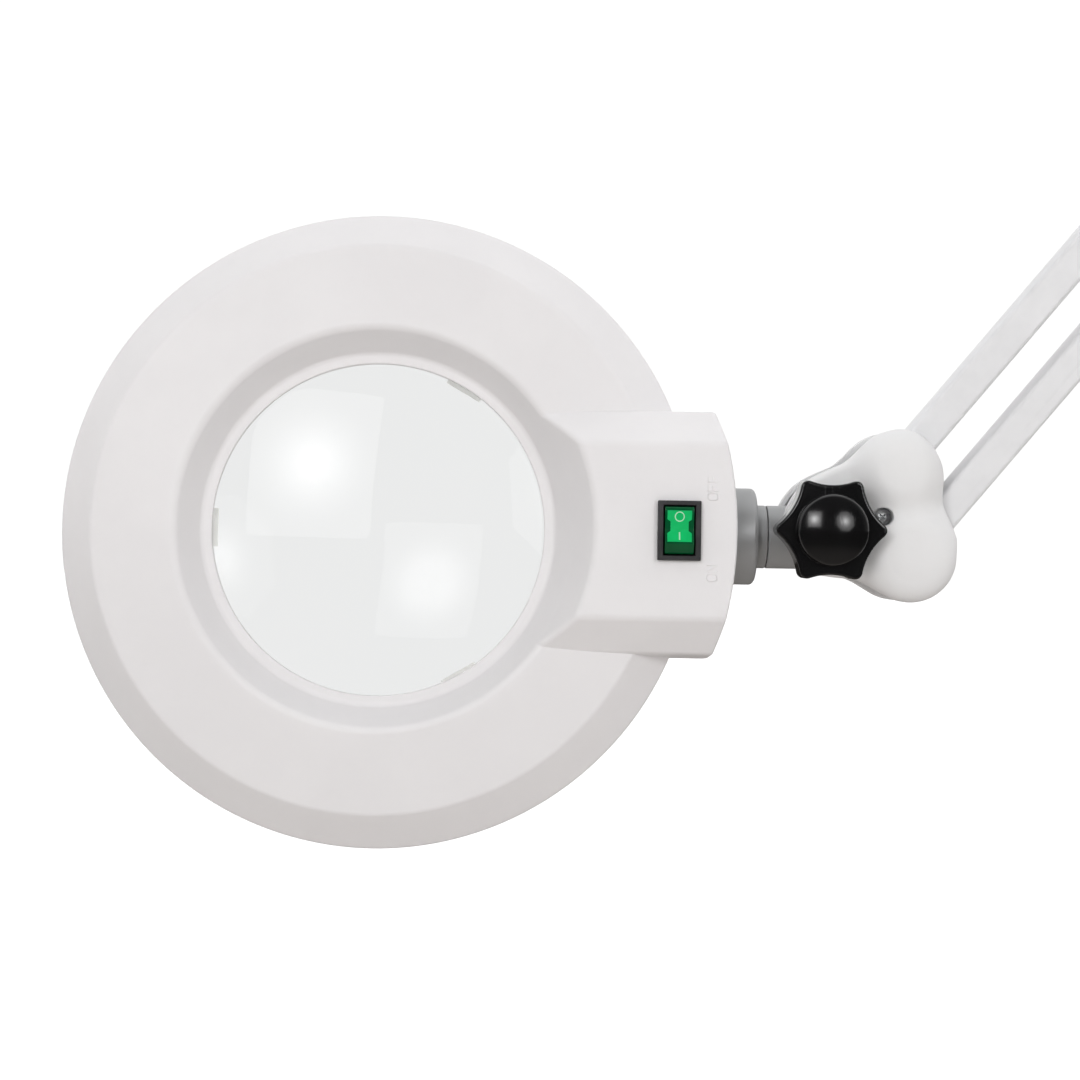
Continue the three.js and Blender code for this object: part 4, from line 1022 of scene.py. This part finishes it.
def add_clamp():
    outline = [(-28, 2.3), (-28, 10), (34, 10), (34, -72), (-14, -72), (-14, -60), (26, -60), (26, 2.3)]
    bore = turned(rod(6.3, -90, -50, 32), ALONG_Y)
    body = tidy(*prism(outline, -18, 18), FRONT, soft=1.6, cutters=[bore], segments=4)
    socket = rounded([(8.3, 9.6), (14.6, 9.6), (13, 13), (13, 44), (8.3, 44)], [0, 0, 3, 1.6, 0.6], True, 5)
    nut = rounded([(6.3, -78), (12, -78), (12, -71), (6.3, -71)], [0.5, 1.2, 0, 0], True)
    boss = rounded([(2.8, 10.5), (7.2, 10.5), (6, 17), (2.8, 17)], [0, 0, 0.8, 0.3], True)
    lock = place(BASE_AXIS, 28) @ ALONG_X
    turned_parts = ((socket, 64, BASE_UPRIGHT), (nut, 48, UPRIGHT), (boss, 32, lock))
    parts = [body, *[tidy(*lathe(path, steps, closed=True), where) for path, steps, where in turned_parts]]
    piece("clamp_body", parts, "clamp", "white_paint", ["clamp_frame"])

    ribs = [box(x, x + 2.2, 0, 2.1, -16.4, 16.4) for x in np.arange(-26.4, 20.6, 3.4)]
    plate = tidy(*box(-27, 25, 0.55, 2, -17, 17), FRONT, soft=0.3, segments=2)
    ribs = [tidy(*rib, FRONT, soft=0.25, segments=2) for rib in ribs]
    piece("jaw_liner", [plate, *ribs], "clamp", "rubber", ["jaw_pad"])

    def knurl(radius, z, flutes=20, depth=0.35):
        loop = []
        for a in np.linspace(0, 2 * math.pi, flutes * 6, endpoint=False):
            r = radius + depth * math.cos(flutes * a)
            loop.append((r * math.cos(a), r * math.sin(a)))
        return loop, z

    head = stack([knurl(6.9, 18), knurl(7.6, 18.6), knurl(7.6, 27.9), knurl(7.1, 28.7), knurl(6.2, 29)])
    shank = lathe([(0, 6.4), (2.1, 6.4), (2.5, 6.9), (2.5, 18.2), (0, 18.2)], 24)
    piece("lock_thumb_screw", [tidy(*head, lock, crease=30), tidy(*shank, lock)], "lock_screw", "black_knob",
          ["lock_screw"])

    pad = [(0, -34.2), (4.3, -34.2), (4.3, -39), (8.5, -39), (13, -35), (13, -30), (0, -30)]
    pad = rounded(pad, [0, 0.3, 0.3, 0.8, 1.0, 1.0, 0])
    piece("screw_pad", tidy(*lathe(pad, 48), UPRIGHT), "press", "steel", ["pressure_pad"])

    bar_height = -111
    thread = thread_mesh(6.0, 5.2, 1.5, -114, -39.3)
    hub = rounded([(0, -118), (9, -118), (9, -104), (0, -104)], [0, 1.6, 1.6, 0], steps=5)
    neck = lathe([(0, -42), (4, -42), (4, -34.3), (0, -34.3)], 32)
    cross = turned(rod(3.3, -20, 20, 24), Matrix.Translation((0, bar_height, 0)))
    hub_mesh = tidy(*turned(lathe(hub, 48), ALONG_Y), FRONT, cutters=[cross])
    piece("screw_spindle", [thread, hub_mesh, tidy(*neck, UPRIGHT)], "screw", "steel", ["clamp_screw"])

    bar = [(0, -37)] + [(5 * math.cos(a), -32 + 5 * math.sin(a)) for a in np.linspace(-1.4, 0.93, 10)]
    bar += [(r, -z) for r, z in bar[::-1]]
    piece("handle_bar", tidy(*lathe(bar, 32), place(0, bar_height)), "bar", "steel", ["tommy_bar"])


def thread_mesh(crest, root, pitch, z0, z1, steps=24, rows=8):
    """A screw thread that stands along y and fades into the core at both ends."""
    count = int((z1 - z0) / pitch * rows)
    points = []
    for i in range(count + 1):
        z = z0 + (z1 - z0) * i / count
        fade = min(1, (z - z0) / 2, (z1 - z) / 2)
        for k in range(steps):
            phase = ((z / pitch) - k / steps) % 1
            r = crest - (crest - root) * abs(phase * 2 - 1) * fade - (crest - root) * 0.5 * (1 - fade)
            a = 2 * math.pi * k / steps
            points.append((r * math.cos(a), z, -r * math.sin(a)))
    return tidy(points, tube_faces(count + 1, steps), FRONT)


# ---------------------------------------------------------------- what stays as it is, with its finish
KEPT = {
    "steel": ["head_plate_front", "head_plate_rear", "elbow_plate_front", "elbow_plate_rear",
              "head_bolt_upper", "head_bolt_lower", *[f"elbow_bolt_{i}" for i in (1, 2, 3, 4)],
              "base_bolt_1", "base_bolt_2", "swivel_nut", "swivel_washer",
              *[f"lamp_clip_{angle}" for angle in (90, 180, 270)]],
    "board": ["ballast_board"],
    "copper": ["ballast_coil"],
    "rubber": ["ballast_capacitor"],
}


def finish_kept():
    for slot, names in KEPT.items():
        for name in names:
            node = frame["nodes"][name]
            node.data.materials.clear()
            node.data.materials.append(FINISH[slot])


add_camera()
add_world()
add_floor()
add_softbox("softbox_left", -19.5, 16, 0.46, 0.54, corner=0.01, glow=3.0, hot=18)
add_softbox("softbox_right", 27, 12.5, 0.6, 0.62, corner=0.18, glow=2.1, hot=13)
add_softbox("fill", -8, 0, 1.7, 1.3, corner=0.02, glow=0.48, distance=1.4, shines=False)
bpy.context.scene.view_settings.view_transform = "Standard"
add_head()
add_switch()
add_swivel()
add_head_joint()
add_knob()
add_arms()
add_elbow()
add_base()
add_clamp()
finish_kept()
